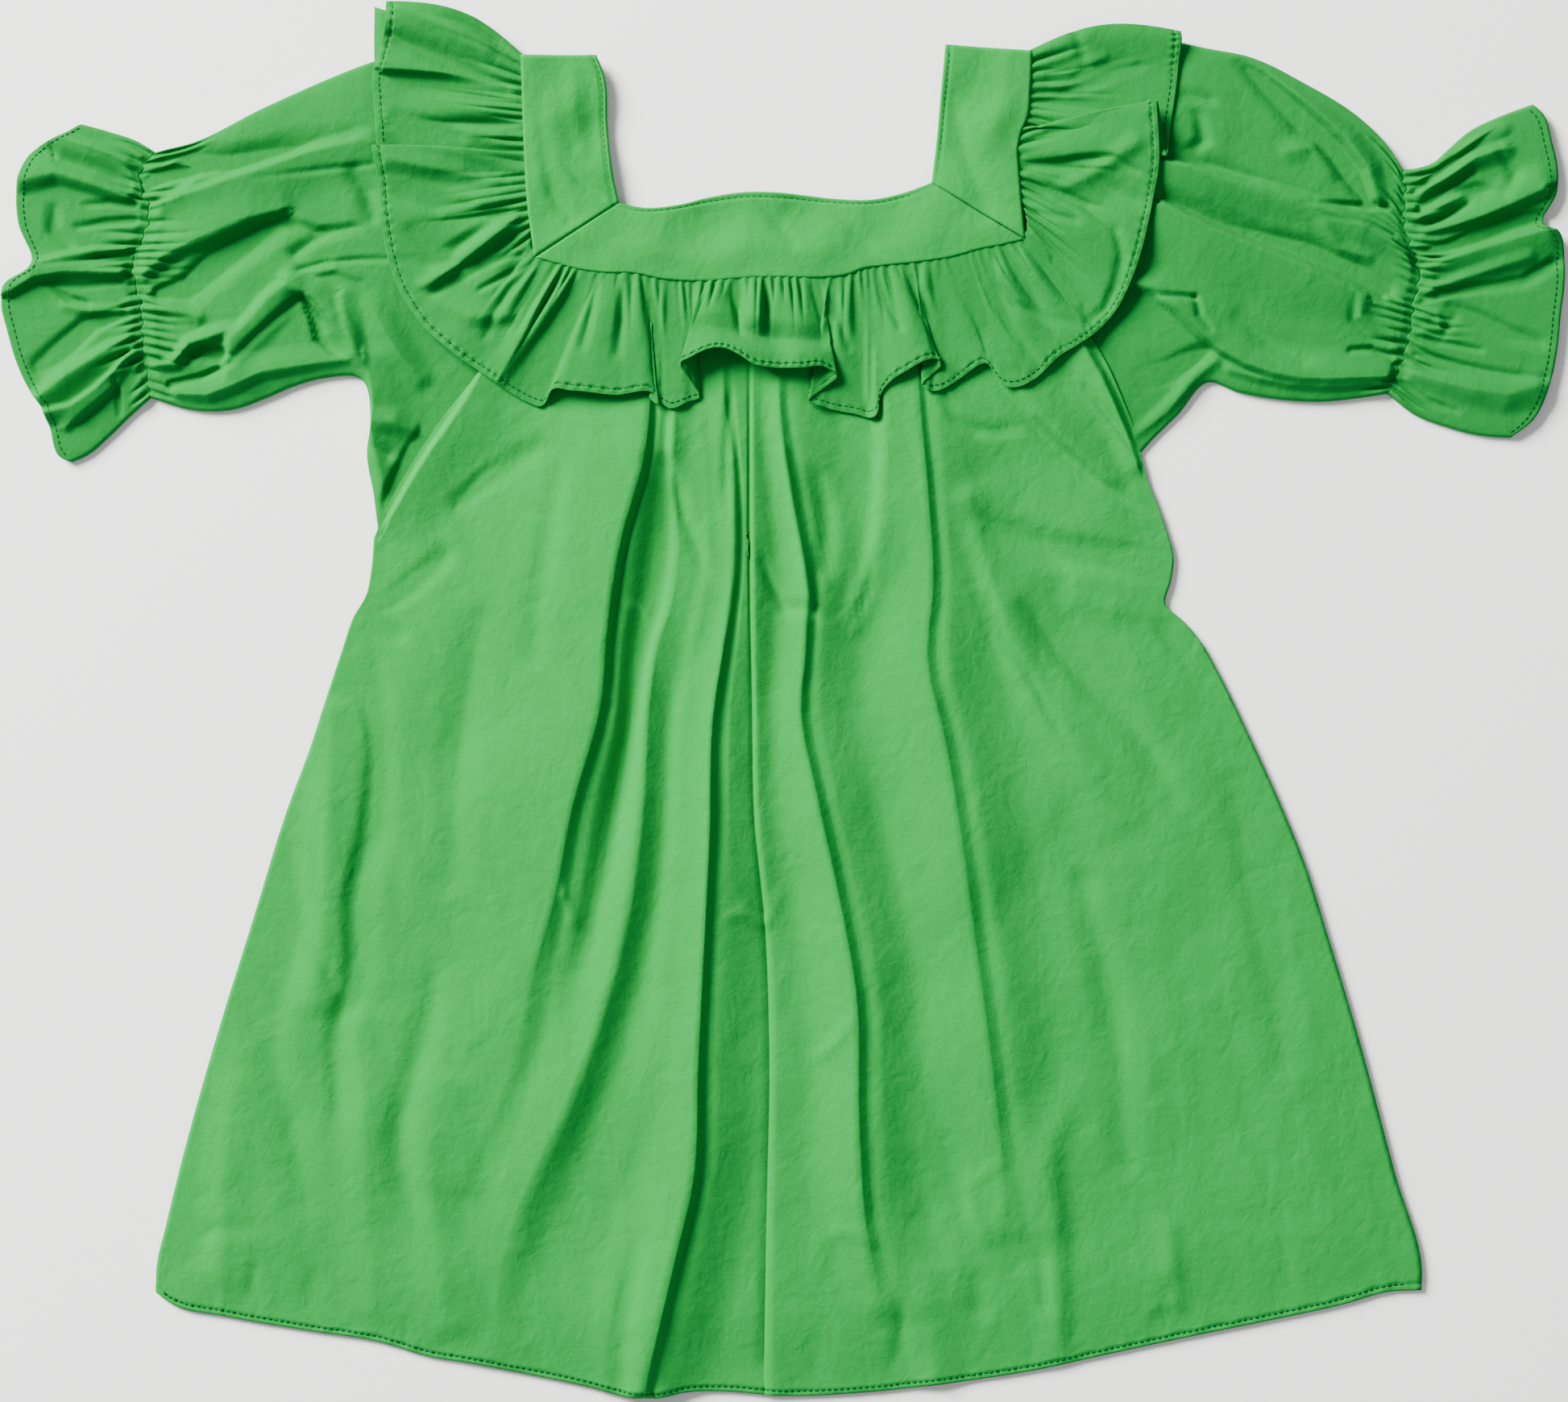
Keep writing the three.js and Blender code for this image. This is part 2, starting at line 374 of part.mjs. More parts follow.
// The geometry, with every face turned round if the body would have a negative volume
function facingOut(positions, faces) {
  const p = (i) => new THREE.Vector3().fromArray(positions, 3 * i);
  let volume = 0;
  for (let i = 0; i < faces.length; i += 3) {
    volume += p(faces[i]).dot(p(faces[i + 1]).cross(p(faces[i + 2])));
  }
  if (volume < 0) faces.reverse();
  const geometry = new THREE.BufferGeometry();
  geometry.setAttribute("position", new THREE.Float32BufferAttribute(positions, 3));
  geometry.setIndex(faces);
  geometry.computeVertexNormals();
  return geometry;
}

// A wall under a height surface: the vertical drop that keeps the cloth its thickness on a slope
const SLOPE_STEP = 0.5;
const STEEPEST = 2.2;
function dropUnder(height, x, y) {
  const dx = (height(x + SLOPE_STEP, y) - height(x - SLOPE_STEP, y)) / (2 * SLOPE_STEP);
  const dy = (height(x, y + SLOPE_STEP) - height(x, y - SLOPE_STEP)) / (2 * SLOPE_STEP);
  return CLOTH * Math.min(STEEPEST, Math.sqrt(1 + dx * dx + dy * dy));
}

// Body panels

const FLAT_FRONT = 2 * CLOTH + LAYER_GAP; // the front's upper side where it lies straight on the back
const BODY_PUFF = 1.6;
const PUFF_REACH = 45;
const bodyFolds = Object.values(BODY_FOLDS);
const bodyEdge = curveThrough([...SIDE_LEFT, ...HEM.slice(1), ...SIDE_RIGHT.toReversed().slice(1)]);
const edgePoints = Array.from({ length: 121 }, (_, i) => bodyEdge(i / 120));

// Height of the front's upper side: it lies on the back at its sides, and the folds stand on it.
// Under the ruffle the folds are pressed flat.
function frontHeight(x, y) {
  const fromSide = edgePoints.reduce((least, [ex, ey]) => Math.min(least, Math.hypot(x - ex, y - ey)), Infinity);
  const puff = BODY_PUFF * eased(fromSide / PUFF_REACH);
  const free = eased((fromYoke(x, y) - 4) / 62);
  const folds = Math.max(0, foldsAt(bodyFolds, x, y) * mixed(0.15, 1, free) + puff);
  return FLAT_FRONT + lift(x, y) + folds;
}

const topOfFront = joined([RAGLAN_LEFT.toReversed(), BAND_SEAM, RAGLAN_RIGHT].map(curveThrough), [0.3, 0.77]);
const hemOfFront = curveThrough(HEM);

// Guide lines down the front, from the yoke to the hem, which the columns of the mesh follow, so
// that the sharp folds fall on them; then the number of columns up to the next guide
const GUIDES = [
  { line: SIDE_LEFT, columns: 7 },
  { line: [[-123.2, 219.6], [-140, 130], [-146, 60], [-160, -50], [-205, -200], [-235, -313.2]], columns: 3 },
  { line: [[-74, 211.6], [-66, 150], [-68.5, 122], [-80, 80], [-87, 35], [-90, 0], [-105, -55], [-113, -95], [-123, -130], [-137, -180], [-160, -240], [-176, -325.9]], columns: 2 },
  { line: [[-69, 211], [-61.5, 150], [-64, 122], [-75, 80], [-82.5, 35], [-85, 0], [-99, -55], [-105, -95], [-112, -130], [-121, -180], [-146, -240], [-160, -328.5]], columns: 2 },
  { line: [[-57, 208.8], [-54, 145], [-55, 118], [-53, 70], [-56, 48], [-63, 28], [-67, 0], [-70, -52], [-76, -100], [-93, -165], [-110, -208], [-126, -242], [-140, -285], [-141, -332]], columns: 4 },
  { line: [[-32, 208], [-29, 150], [-23, 105], [-23, 60], [-29, 30], [-34.5, -5], [-36.5, -70], [-38, -100], [-42, -180], [-44.5, -238], [-54, -279], [-66, -330], [-69, -346.6]], columns: 1 },
  { line: [[-25, 208.8], [-24, 150], [-18.5, 105], [-18.5, 60], [-24.5, 30], [-30, -5], [-32, -70], [-33.5, -100], [-37.5, -180], [-40, -238], [-49.5, -279], [-60, -330], [-63, -346.5]], columns: 2 },
  { line: [[-17, 209.3], [-17.2, 150], [-17.2, 60], [-16.2, 0], [-15.2, -60], [-10, -108], [-7.5, -170], [-9, -260], [-10.4, -344.8]], columns: 1 },
  { line: [[-14, 209.4], [-15, 150], [-15, 60], [-14, 0], [-13, -60], [-8, -108], [-5.5, -170], [-7, -260], [-8.4, -345]], columns: 3 },
  { line: [[2, 209.7], [-2, 150], [4, 100], [11, 60], [11, 25], [8.5, -5], [16, -45], [28, -100], [36, -145], [37.5, -210], [41, -262], [48, -300], [52, -342.8]], columns: 2 },
  { line: [[8, 209.7], [4, 150], [12, 100], [19, 60], [17, 25], [14.5, -5], [22, -45], [33.5, -100], [41, -145], [42.5, -210], [47, -262], [58, -300], [64, -341.4]], columns: 4 },
  { line: [[66, 217.2], [67, 155], [71, 110], [74, 55], [71, 22], [80, -20], [86, -55], [95, -120], [103, -180], [108, -225], [110, -262], [112, -335]], columns: 1 },
  { line: [[72, 218], [71.5, 155], [75.5, 110], [79, 55], [76.5, 22], [86, -20], [92.5, -55], [102, -120], [110, -180], [116, -225], [122, -262], [126, -332.6]], columns: 2 },
  { line: [[120.2, 228.5], [124, 130], [118, 60], [135, -50], [165, -200], [180, -320.8]], columns: 7 },
  { line: SIDE_RIGHT, columns: 0 },
];
const FRONT_ROWS = [0, 0.06, 0.12, 0.17, 0.22, 0.27, 0.32, 0.37, 0.42, 0.47, 0.52, 0.58, 0.64, 0.7, 0.76, 0.82, 0.88, 0.94, 1];

// Grid of [x, y] on a panel, a row at each share of the way down: between two guides it is a patch
// of its own
function panelPlan(guides, rows) {
  const lines = guides.map(({ line, columns }) => {
    const curve = curveThrough(line);
    return { curve, columns, top: shareNear(topOfFront, line[0]), hem: shareNear(hemOfFront, line[line.length - 1]) };
  });
  lines[0].top = lines[0].hem = 0;
  lines[lines.length - 1].top = lines[lines.length - 1].hem = 1;
  const grid = [];
  for (const v of rows) {
    const row = [];
    lines.slice(0, -1).forEach((a, k) => {
      const b = lines[k + 1];
      const near = (u) => topOfFront(mixed(a.top, b.top, u));
      const far = (u) => hemOfFront(mixed(a.hem, b.hem, u));
      const patch = patchBetween(near, far, a.curve, b.curve);
      for (let j = 0; j < a.columns; j++) row.push(patch(j / a.columns, v));
    });
    row.push(lines[lines.length - 1].curve(v));
    grid.push(row);
  }
  return grid;
}

// The first row drawn back from the seam line, square to it
function belowSeam(plan) {
  const edge = plan[0].map(([x, y], j) => {
    const [ax, ay] = plan[0][Math.max(0, j - 1)];
    const [bx, by] = plan[0][Math.min(plan[0].length - 1, j + 1)];
    const length = Math.hypot(bx - ax, by - ay);
    return [x + (SEAM_GAP * (by - ay)) / length, y - (SEAM_GAP * (bx - ax)) / length];
  });
  return [edge, ...plan.slice(1)];
}

function frontPanel() {
  const plan = panelPlan(GUIDES, FRONT_ROWS);
  const upper = belowSeam(plan).map((row) => row.map(([x, y]) => [x, y, frontHeight(x, y)]));
  const lower = upper.map((row) => row.map(([x, y, z]) => [x, y, z - dropUnder(frontHeight, x, y)]));
  return slab(upper, lower);
}

const BACK_GUIDES = [
  { line: SIDE_LEFT, columns: 7 },
  { line: [[-123.2, 219.6], [-235, -313.2]], columns: 10 },
  { line: [[120.2, 228.5], [180, -320.8]], columns: 7 },
  { line: SIDE_RIGHT, columns: 0 },
];
const BACK_ROWS = [0, 0.07, 0.14, 0.21, 0.28, 0.4, 0.55, 0.7, 0.85, 1];
const BACK_INSET = 2.5; // the back's hem and sides lie just inside the front's

function backPanel() {
  const plan = belowSeam(panelPlan(BACK_GUIDES, BACK_ROWS)).map((row, i) =>
    row.map(([x, y], j) => {
      if (i < BACK_ROWS.length - 1 && j > 0 && j < row.length - 1) return [x, y];
      const toMiddle = new THREE.Vector2(-x, -100 - y).setLength(BACK_INSET);
      return [x + toMiddle.x, y + toMiddle.y];
    }),
  );
  const at = (thickness) => plan.map((row) => row.map(([x, y]) => [x, y, lift(x, y) + thickness]));
  return slab(at(CLOTH), at(0));
}

// Sleeves and frills

const SLEEVE_TOP_COLUMNS = 2 * CUFF_GATHERS; // one on each crest and one in each trough
const SLEEVE_STATIONS = [0, 0.06, 0.14, 0.24, 0.36, 0.5, 0.65, 0.82, 1];
const FRILL_STATIONS = [0, 0.18, 0.55, 1];
const TUBE_EDGE = 2 * CLOTH + 0.5; // a flattened tube's height at its two folded edges
const SLEEVE_PUFF = 3.2;
const SLEEVE_RELIEF = 1.35; // how far the folds stand above the heights in their tables, pressed flat
const SLEEVE_MOST_RISE = 7.2; // of folds and puff together above the folded edges
const SLEEVE_HOLLOW = 3.8; // at most, between the two layers: under a tall fold the wall is thicker
const CUFF_REACH = 0.14; // share of the sleeve's length over which the cuff gathers run out

// Height of a flattened tube's upper layer above what it lies on: it rises from its folded edges
const tubeRise = (v, puff) => TUBE_EDGE + puff * Math.sqrt(Math.max(0, 1 - (2 * v - 1) ** 4));
const cuffGather = (v) => Math.cos(2 * Math.PI * CUFF_GATHERS * v) * (0.75 + 0.25 * Math.sin(31 * v));

function flatTube({ plan, stations, rise, folds, corner }) {
  const underShares = [1, 0.9, 0.8, 0.7, 0.6, 0.5, corner, corner * 0.66, corner * 0.33, 0];
  const height = (u, v) => {
    const [x, y] = plan(u, v);
    const ends = eased(v / 0.06) * eased((1 - v) / 0.06);
    const above = Math.max(0, rise(u, v) - TUBE_EDGE + SLEEVE_RELIEF * foldsAt(folds, x, y) * ends);
    return lift(x, y) + TUBE_EDGE + SLEEVE_MOST_RISE * Math.tanh(above / SLEEVE_MOST_RISE);
  };
  const topShares = Array.from({ length: SLEEVE_TOP_COLUMNS + 1 }, (_, j) => j / SLEEVE_TOP_COLUMNS);
  const inset = (v, width) => mixed(CLOTH / width, 1 - CLOTH / width, v);
  const outer = [];
  const inner = [];
  for (const u of stations) {
    const [ax, ay] = plan(u, 0);
    const [bx, by] = plan(u, 1);
    const width = Math.hypot(bx - ax, by - ay);
    const overPoint = (v) => [...plan(u, v), height(u, v)];
    const underPoint = (v) => {
      const [x, y] = plan(u, v);
      return [x, y, lift(x, y)];
    };
    outer.push([...topShares.map(overPoint), ...underShares.map(underPoint)]);
    inner.push([
      ...topShares.map((v) => {
        const w = inset(v, width);
        const [x, y] = plan(u, w);
        const floor = lift(x, y) + CLOTH + 0.25;
        const slope = Math.abs(height(u, Math.min(1, w + 0.01)) - height(u, Math.max(0, w - 0.01))) / (0.02 * width);
        const ceiling = height(u, w) - CLOTH * Math.min(STEEPEST, Math.sqrt(1 + slope * slope));
        return [x, y, clamped(ceiling, floor, lift(x, y) + CLOTH + SLEEVE_HOLLOW)];
      }),
      ...underShares.map((v) => {
        const [x, y] = plan(u, inset(v, width));
        return [x, y, lift(x, y) + CLOTH];
      }),
    ]);
  }
  return openTube(outer, inner);
}

function sleeveTube(sleeve, folds) {
  const corner = sleeve.innerCorner / SLEEVE_TOP_COLUMNS;
  const seam = joined(sleeve.inner.map(curveThrough), [corner]);
  const inner = (share) => {
    const [x, y] = seam(share);
    return [x + sleeve.away, y + 0.5 * Math.abs(sleeve.away)];
  };
  const patch = patchBetween(curveThrough(sleeve.top), curveThrough(sleeve.bottom), curveThrough(sleeve.cuff), inner);
  const rise = (u, v) => {
    const gather = CUFF_GATHER_HEIGHT * cuffGather(v) * (1 - eased(u / CUFF_REACH));
    return tubeRise(v, SLEEVE_PUFF * mixed(0.55, 1, eased(u / 0.25)) * mixed(1, 0.05, eased((u - 0.5) / 0.4))) + gather;
  };
  return flatTube({ plan: patch, stations: SLEEVE_STATIONS, rise, folds: Object.values(folds), corner });
}

function frillTube(frill, sleeve, folds) {
  const corner = sleeve.innerCorner / SLEEVE_TOP_COLUMNS;
  const start = curveThrough(sleeve.cuff.map(([x, y]) => [x + frill.away, y]));
  const patch = patchBetween(curveThrough(frill.top), curveThrough(frill.bottom), start, curveThrough(frill.hem));
  const rise = (u, v) => {
    const gather = CUFF_GATHER_HEIGHT * cuffGather(v) * (1 - eased(u / 0.6));
    return tubeRise(v, SLEEVE_PUFF * 0.55) + gather;
  };
  return flatTube({ plan: patch, stations: FRILL_STATIONS, rise, folds: Object.values(folds), corner });
}

// Yoke bands: each is a strip between the outer seam and the neck edge, cut double

const FRONT_YOKE_TOP = 2 * YOKE_WALL + LAYER_GAP;
const YOKE_ROWS = 3; // across a band in front; the back's bands lie flat

function band({ outer, neck, from, to, columns, rows, base, wave }) {
  const grid = (z) =>
    Array.from({ length: rows + 1 }, (_, i) =>
      Array.from({ length: columns + 1 }, (_, j) => {
        const u = j / columns;
        const v = i / rows;
        const [ax, ay] = outer(mixed(from, to, u));
        const [bx, by] = neck(mixed(from, to, u));
        const x = mixed(ax, bx, v);
        const y = mixed(ay, by, v);
        return [x, y, base + z + wave(x, y)];
      }),
    );
  return slab(grid(YOKE_WALL), grid(0));
}

const FRONT_MITRE = 0.003; // share of the neck band's length that is left out at each mitre
const BACK_MITRE = 0.012;
const flat = () => 0;
const yokeWave = (x, y) => {
  const across = 1.1 * (1 + Math.sin(x / 17 + y / 30)) + 0.6 * (1 + Math.sin(x / 9 - y / 14));
  return 0.6 * across * eased(Math.min(1, fromYoke(x, y) / 12));
};

function yokeBands(side, base, wave, inset, mitre) {
  const moved = (points, dx, dy) => points.map(([x, y]) => [x + dx, y + dy]);
  const rows = wave === flat ? 1 : YOKE_ROWS;
  const columns = { left: 7, front: 20, right: 7 };
  const bands = {
    left_strap: [moved(LEFT_STRAP_SEAM, SEAM_GAP + inset, 0), moved(NECK_LEFT, -inset, 0), columns.left, 0, 1 - 3 * mitre],
    neck_band: [moved(BAND_SEAM, 0, 1.8 * SEAM_GAP + inset), moved(NECK_FRONT, 0, -inset), columns.front, mitre, 1 - mitre],
    right_strap: [moved(RIGHT_STRAP_SEAM, -SEAM_GAP - inset, 0), moved(NECK_RIGHT, inset, 0), columns.right, 3 * mitre, 1],
  };
  return Object.entries(bands).map(([name, [outer, neck, count, from, to]]) => [
    `${side}_${name}`,
    band({ outer: curveThrough(outer), neck: curveThrough(neck), from, to, columns: count, rows, base, wave }),
  ]);
}

// Ruffles

const RUFFLE_ROWS = [0, 0.2, 0.55, 1];
const RUFFLE_SEAM_TOP = 5.2; // the ruffle's upper side along the seam, above the panels and sleeves that it covers
const ruffleHem = through(RUFFLE_HEM.map(([at]) => at), RUFFLE_HEM.map(([, ...rest]) => rest));
const SEAM_LENGTH = RUFFLE_HEM[RUFFLE_HEM.length - 1][0];

// Where the gathers' crests and troughs come along the seam: they are uneven in width
const gatherCount = Math.round(SEAM_LENGTH / GATHER_PITCH);
const uneven = (t) => t + 0.0032 * Math.sin(57 * t) + 0.0012 * Math.sin(151 * t);
const creaseAt = (j) => (SEAM_LENGTH * uneven(j / (2 * gatherCount))) / uneven(1);

// The rise of crease j at share v of the way out: a crest where j is even, uneven in length
function gather(j, v) {
  const reach = 0.5 + 0.2 * Math.sin(2.1 * j) + 0.1 * Math.sin(0.37 * j);
  return (j % 2 === 0 ? 1 : -1) * GATHER_HEIGHT * mixed(0.6, 1, eased(v / 0.1)) * (1 - eased(v / reach));
}

// A point on the ruffle's upper side: on crease j, at share v of the way from the seam to the hem
function rufflePoint(j, v) {
  const at = creaseAt(j);
  const [sx, sy] = YOKE_SEAM(at / SEAM_LENGTH);
  const [hx, hy, hz, bow] = ruffleHem(at);
  const length = Math.hypot(hx - sx, hy - sy);
  const side = sx < 0 ? 1 : -1;
  const bulge = bow * Math.sin(Math.PI * v);
  const out = mixed(SEAM_GAP / length, 1, v);
  const x = mixed(sx, hx, out) + (side * (hy - sy) * bulge) / length;
  const y = mixed(sy, hy, out) - (side * (hx - sx) * bulge) / length;
  return [x, y, mixed(RUFFLE_SEAM_TOP, hz + 1, v) + gather(j, v)];
}

// What lies under the ruffle: the highest point of the given geometries in each cell of a grid
function highestOf(geometries) {
  const cells = new Map();
  const key = (x, y) => `${Math.round(x / CLEAR_CELL)},${Math.round(y / CLEAR_CELL)}`;
  for (const geometry of geometries) {
    const p = geometry.getAttribute("position");
    const index = geometry.getIndex();
    const corner = (i) => new THREE.Vector3().fromBufferAttribute(p, index.getX(i));
    for (let i = 0; i < index.count; i += 3) {
      const [a, b, c] = [corner(i), corner(i + 1), corner(i + 2)];
      const steps = Math.ceil(Math.max(a.distanceTo(b), b.distanceTo(c), c.distanceTo(a)) / (CLEAR_CELL / 2)) + 1;
      for (let m = 0; m <= steps; m++) {
        for (let n = 0; n <= steps - m; n++) {
          const q = a.clone().multiplyScalar((steps - m - n) / steps).addScaledVector(b, m / steps).addScaledVector(c, n / steps);
          const cell = key(q.x, q.y);
          cells.set(cell, Math.max(q.z, cells.get(cell) ?? 0));
        }
      }
    }
  }
  const around = [-CLEAR_CELL, 0, CLEAR_CELL];
  return (x, y) => Math.max(...around.flatMap((dx) => around.map((dy) => cells.get(key(x + dx, y + dy)) ?? 0)));
}

function frontRuffle(below) {
  const creases = Array.from({ length: 2 * gatherCount + 1 }, (_, j) => j);
  const underneath = highestOf(below);
  const points = RUFFLE_ROWS.map((v) => creases.map((j) => new THREE.Vector3(...rufflePoint(j, v))));
  for (const row of points) {
    for (const p of row) p.z = Math.max(p.z, underneath(p.x, p.y) + CLOTH + CLEARANCE);
  }
  const clampedIndex = (list, i) => list[clamped(i, 0, list.length - 1)];
  const lower = points.map((row, i) =>
    row.map((p, j) => {
      const along = clampedIndex(row, j + 1).clone().sub(clampedIndex(row, j - 1));
      const outward = clampedIndex(points, i + 1)[j].clone().sub(clampedIndex(points, i - 1)[j]);
      const normal = along.cross(outward).normalize();
      return p.clone().addScaledVector(normal, CLOTH).toArray();
    }),
  );
  return slab(points.map((row) => row.map((p) => p.toArray())), lower);
}

function backRuffle() {
  const hem = curveThrough(BACK_RUFFLE_HEM);
  const columns = 36;
  const rows = 2;
  const at = (z) =>
    Array.from({ length: rows + 1 }, (_, i) =>
      Array.from({ length: columns + 1 }, (_, j) => {
        const u = j / columns;
        const [ax, ay] = YOKE_SEAM(u);
        const [bx, by] = hem(u);
        return [mixed(ax, bx, i / rows), mixed(ay, by, i / rows), z];
      }),
    );
  return slab(at(CLOTH), at(0));
}

// Assembly

const COTTON = { color: 0x55b360, roughness: 0.85, metalness: 0 };
const blouse = new THREE.Group();
function sewOn(name, geometry) {
  const mesh = new THREE.Mesh(geometry, new THREE.MeshStandardMaterial(COTTON));
  mesh.name = name;
  blouse.add(mesh);
  return geometry;
}

sewOn("back_ruffle", backRuffle());
sewOn("back_panel", backPanel());
const front = sewOn("front_panel", frontPanel());
const leftSleeve = sewOn("left_sleeve", sleeveTube(LEFT_SLEEVE, LEFT_SLEEVE_FOLDS));
const rightSleeve = sewOn("right_sleeve", sleeveTube(RIGHT_SLEEVE, RIGHT_SLEEVE_FOLDS));
sewOn("left_frill", frillTube(LEFT_FRILL, LEFT_SLEEVE, LEFT_FRILL_FOLDS));
sewOn("right_frill", frillTube(RIGHT_FRILL, RIGHT_SLEEVE, RIGHT_FRILL_FOLDS));
for (const [name, geometry] of yokeBands("back", 0, flat, 0.8, BACK_MITRE)) sewOn(name, geometry);
for (const [name, geometry] of yokeBands("front", YOKE_WALL + LAYER_GAP, yokeWave, 0, FRONT_MITRE)) sewOn(name, geometry);
sewOn("front_ruffle", frontRuffle([front, leftSleeve, rightSleeve]));

export default blouse;
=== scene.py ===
# %% [markdown]
# # A cotton blouse, laid flat
# The blouse is dress-weight cotton poplin. It lies on its back on a pale table and is seen
# from straight above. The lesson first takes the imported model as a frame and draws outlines
# and folds. It then sets up camera, light and table, makes each sewn piece as a surface worked
# out with numpy, and ends with the thread and the cloth's finish.

import bmesh
import bpy
import numpy as np
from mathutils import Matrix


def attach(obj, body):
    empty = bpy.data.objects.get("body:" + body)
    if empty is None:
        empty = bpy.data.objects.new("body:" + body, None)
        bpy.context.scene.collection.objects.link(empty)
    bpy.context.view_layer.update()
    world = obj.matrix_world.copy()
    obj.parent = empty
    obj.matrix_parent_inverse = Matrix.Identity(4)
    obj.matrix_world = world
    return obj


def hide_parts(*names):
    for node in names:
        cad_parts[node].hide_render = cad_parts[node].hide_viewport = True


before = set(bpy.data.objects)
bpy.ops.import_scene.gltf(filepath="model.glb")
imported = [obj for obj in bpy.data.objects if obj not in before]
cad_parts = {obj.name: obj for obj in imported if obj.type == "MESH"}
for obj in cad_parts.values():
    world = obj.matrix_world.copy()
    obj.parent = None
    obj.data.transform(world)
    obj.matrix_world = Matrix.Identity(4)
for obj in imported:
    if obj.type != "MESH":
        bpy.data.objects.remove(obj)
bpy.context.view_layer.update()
MM = 0.001
print("pieces of the model:", len(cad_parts))

# %% [markdown]
# ## Curves and patches
# A pattern cutter draws each piece by a few points on its outline. Here a curve runs smoothly
# through such points, and a patch fills the space between four curves. Everything is worked
# out for a whole array of places at once, because that is how numpy is fast.

# %% Curves through points
def mixed(a, b, t):
    """The value that is share t of the way from a to b."""
    return a + (b - a) * t


def eased(t):
    """0 below 0 and 1 above 1, with a soft S between: 3 t squared less 2 t cubed."""
    c = np.clip(t, 0, 1)
    return c * c * (3 - 2 * c)


def through(knots, rows):
    """A cubic between each two rows; its slope at a row is the weighted mean of both sides' slopes."""
    knots, rows = np.asarray(knots, float), np.asarray(rows, float)
    widths = np.diff(knots)[:, None]
    slopes = np.diff(rows, axis=0) / widths
    middle = (slopes[:-1] * widths[1:] + slopes[1:] * widths[:-1]) / (widths[:-1] + widths[1:])
    tangents = np.vstack([slopes[:1], middle, slopes[-1:]])

    def at(t):
        t = np.clip(np.asarray(t, float), knots[0], knots[-1])
        i = np.clip(np.searchsorted(knots, t, side="right") - 1, 0, len(knots) - 2)
        width = (knots[i + 1] - knots[i])[..., None]
        s = (t - knots[i])[..., None] / width
        bend = s * (1 - s) ** 2 * tangents[i] - s * s * (1 - s) * tangents[i + 1]
        return rows[i] + (rows[i + 1] - rows[i]) * s * s * (3 - 2 * s) + width * bend

    return at


def curve_through(points):
    """A curve through [x, y] points, read by its share of length, from 0 to 1."""
    points = np.asarray(points, float)
    knots = np.concatenate([[0], np.cumsum(np.linalg.norm(np.diff(points, axis=0), axis=1))])
    at = through(knots, points)
    return lambda share: at(np.asarray(share, float) * knots[-1])


def joined(curves, corners):
    """Curves that follow each other round corners, which fall at the given shares."""
    ends = [0.0, *corners, 1.0]

    def at(share):
        share = np.asarray(share, float)
        found = np.zeros(share.shape + (2,))
        for i, curve in enumerate(curves):
            here = (share >= ends[i]) & (share <= ends[i + 1])
            local = (share - ends[i]) / (ends[i + 1] - ends[i])
            found = np.where(here[..., None], curve(np.clip(local, 0, 1)), found)
        return found

    return at


def patch_between(near, far, left, right):
    """Near and far mixed by v, plus left and right mixed by u, less the four corners mixed by both."""
    corners = [curve(np.array(end)) for curve in (near, far) for end in (0.0, 1.0)]

    def at(u, v):
        a, b = np.asarray(u, float)[..., None], np.asarray(v, float)[..., None]
        across = mixed(near(u), far(u), b)
        along = mixed(left(v), right(v), a)
        return across + along - mixed(mixed(corners[0], corners[1], a), mixed(corners[2], corners[3], a), b)

    return at


def moved(points, dx, dy):
    """The same points, dx to the right and dy up."""
    return [(x + dx, y + dy) for x, y in points]


def waves(t, *rows):
    """The sum of height times sin(rate t + phase), for rows of (height, rate, phase)."""
    return sum(height * np.sin(rate * t + phase) for height, rate, phase in rows)


def crowded(t, share):
    """Shares from 0 to 1 that lie closer together towards both ends, the more so with a larger share."""
    return mixed(t, eased(t), share)


# %% [markdown]
# ## The pattern pieces
# These are the outlines in millimetres, as the blouse lies. The same named lines are in the
# part's source, so every piece here lies on its solid. Left and right are those of the picture.

# %% Outlines, as (x, y)
LEFT_STRAP_SEAM = [(-130, 320.3), (-129.3, 300), (-128.2, 271), (-126.9, 248.5), (-123.2, 219.6)]
BAND_SEAM = [
    (-123.2, 219.6), (-113, 216.8), (-100.5, 213.6), (-87.7, 212), (-73, 211.6), (-62, 209.2),
    (-36.5, 207.8), (-20.5, 209.2), (0, 209.7), (19.4, 209.6), (32.2, 211), (40.2, 214), (51.4, 215.6),
    (67.4, 217.3), (83.4, 219.7), (99.4, 224), (109, 225.8), (120.2, 228.5),
]
RIGHT_STRAP_SEAM = [
    (120.2, 228.5), (117.3, 261), (116.7, 274), (118.4, 282), (121.3, 288.5), (122.8, 303),
    (123.7, 322.3),
]
NECK_LEFT = [(-92.5, 320.3), (-88.5, 310), (-86.9, 284), (-84.5, 263), (-81.3, 247)]
NECK_FRONT = [
    (-81.3, 247), (-68.5, 244.6), (-52.5, 246), (-36.5, 249.8), (-20.5, 252.2), (-4.5, 252.2),
    (11.5, 250.8), (27.5, 249), (43.4, 248.6), (59.4, 251.8), (73.8, 257),
]
NECK_RIGHT = [(73.8, 257), (76.2, 277), (78.2, 300), (80.6, 325.5)]
RAGLAN_LEFT = [
    (-123.2, 219.6), (-138, 188), (-148.5, 167), (-169, 140), (-185, 116), (-196, 97), (-203.2, 80.5),
]
RAGLAN_RIGHT = [
    (120.2, 228.5), (135, 206), (151, 183), (161, 167), (167.5, 152.5), (174, 136.5), (178.2, 121),
]
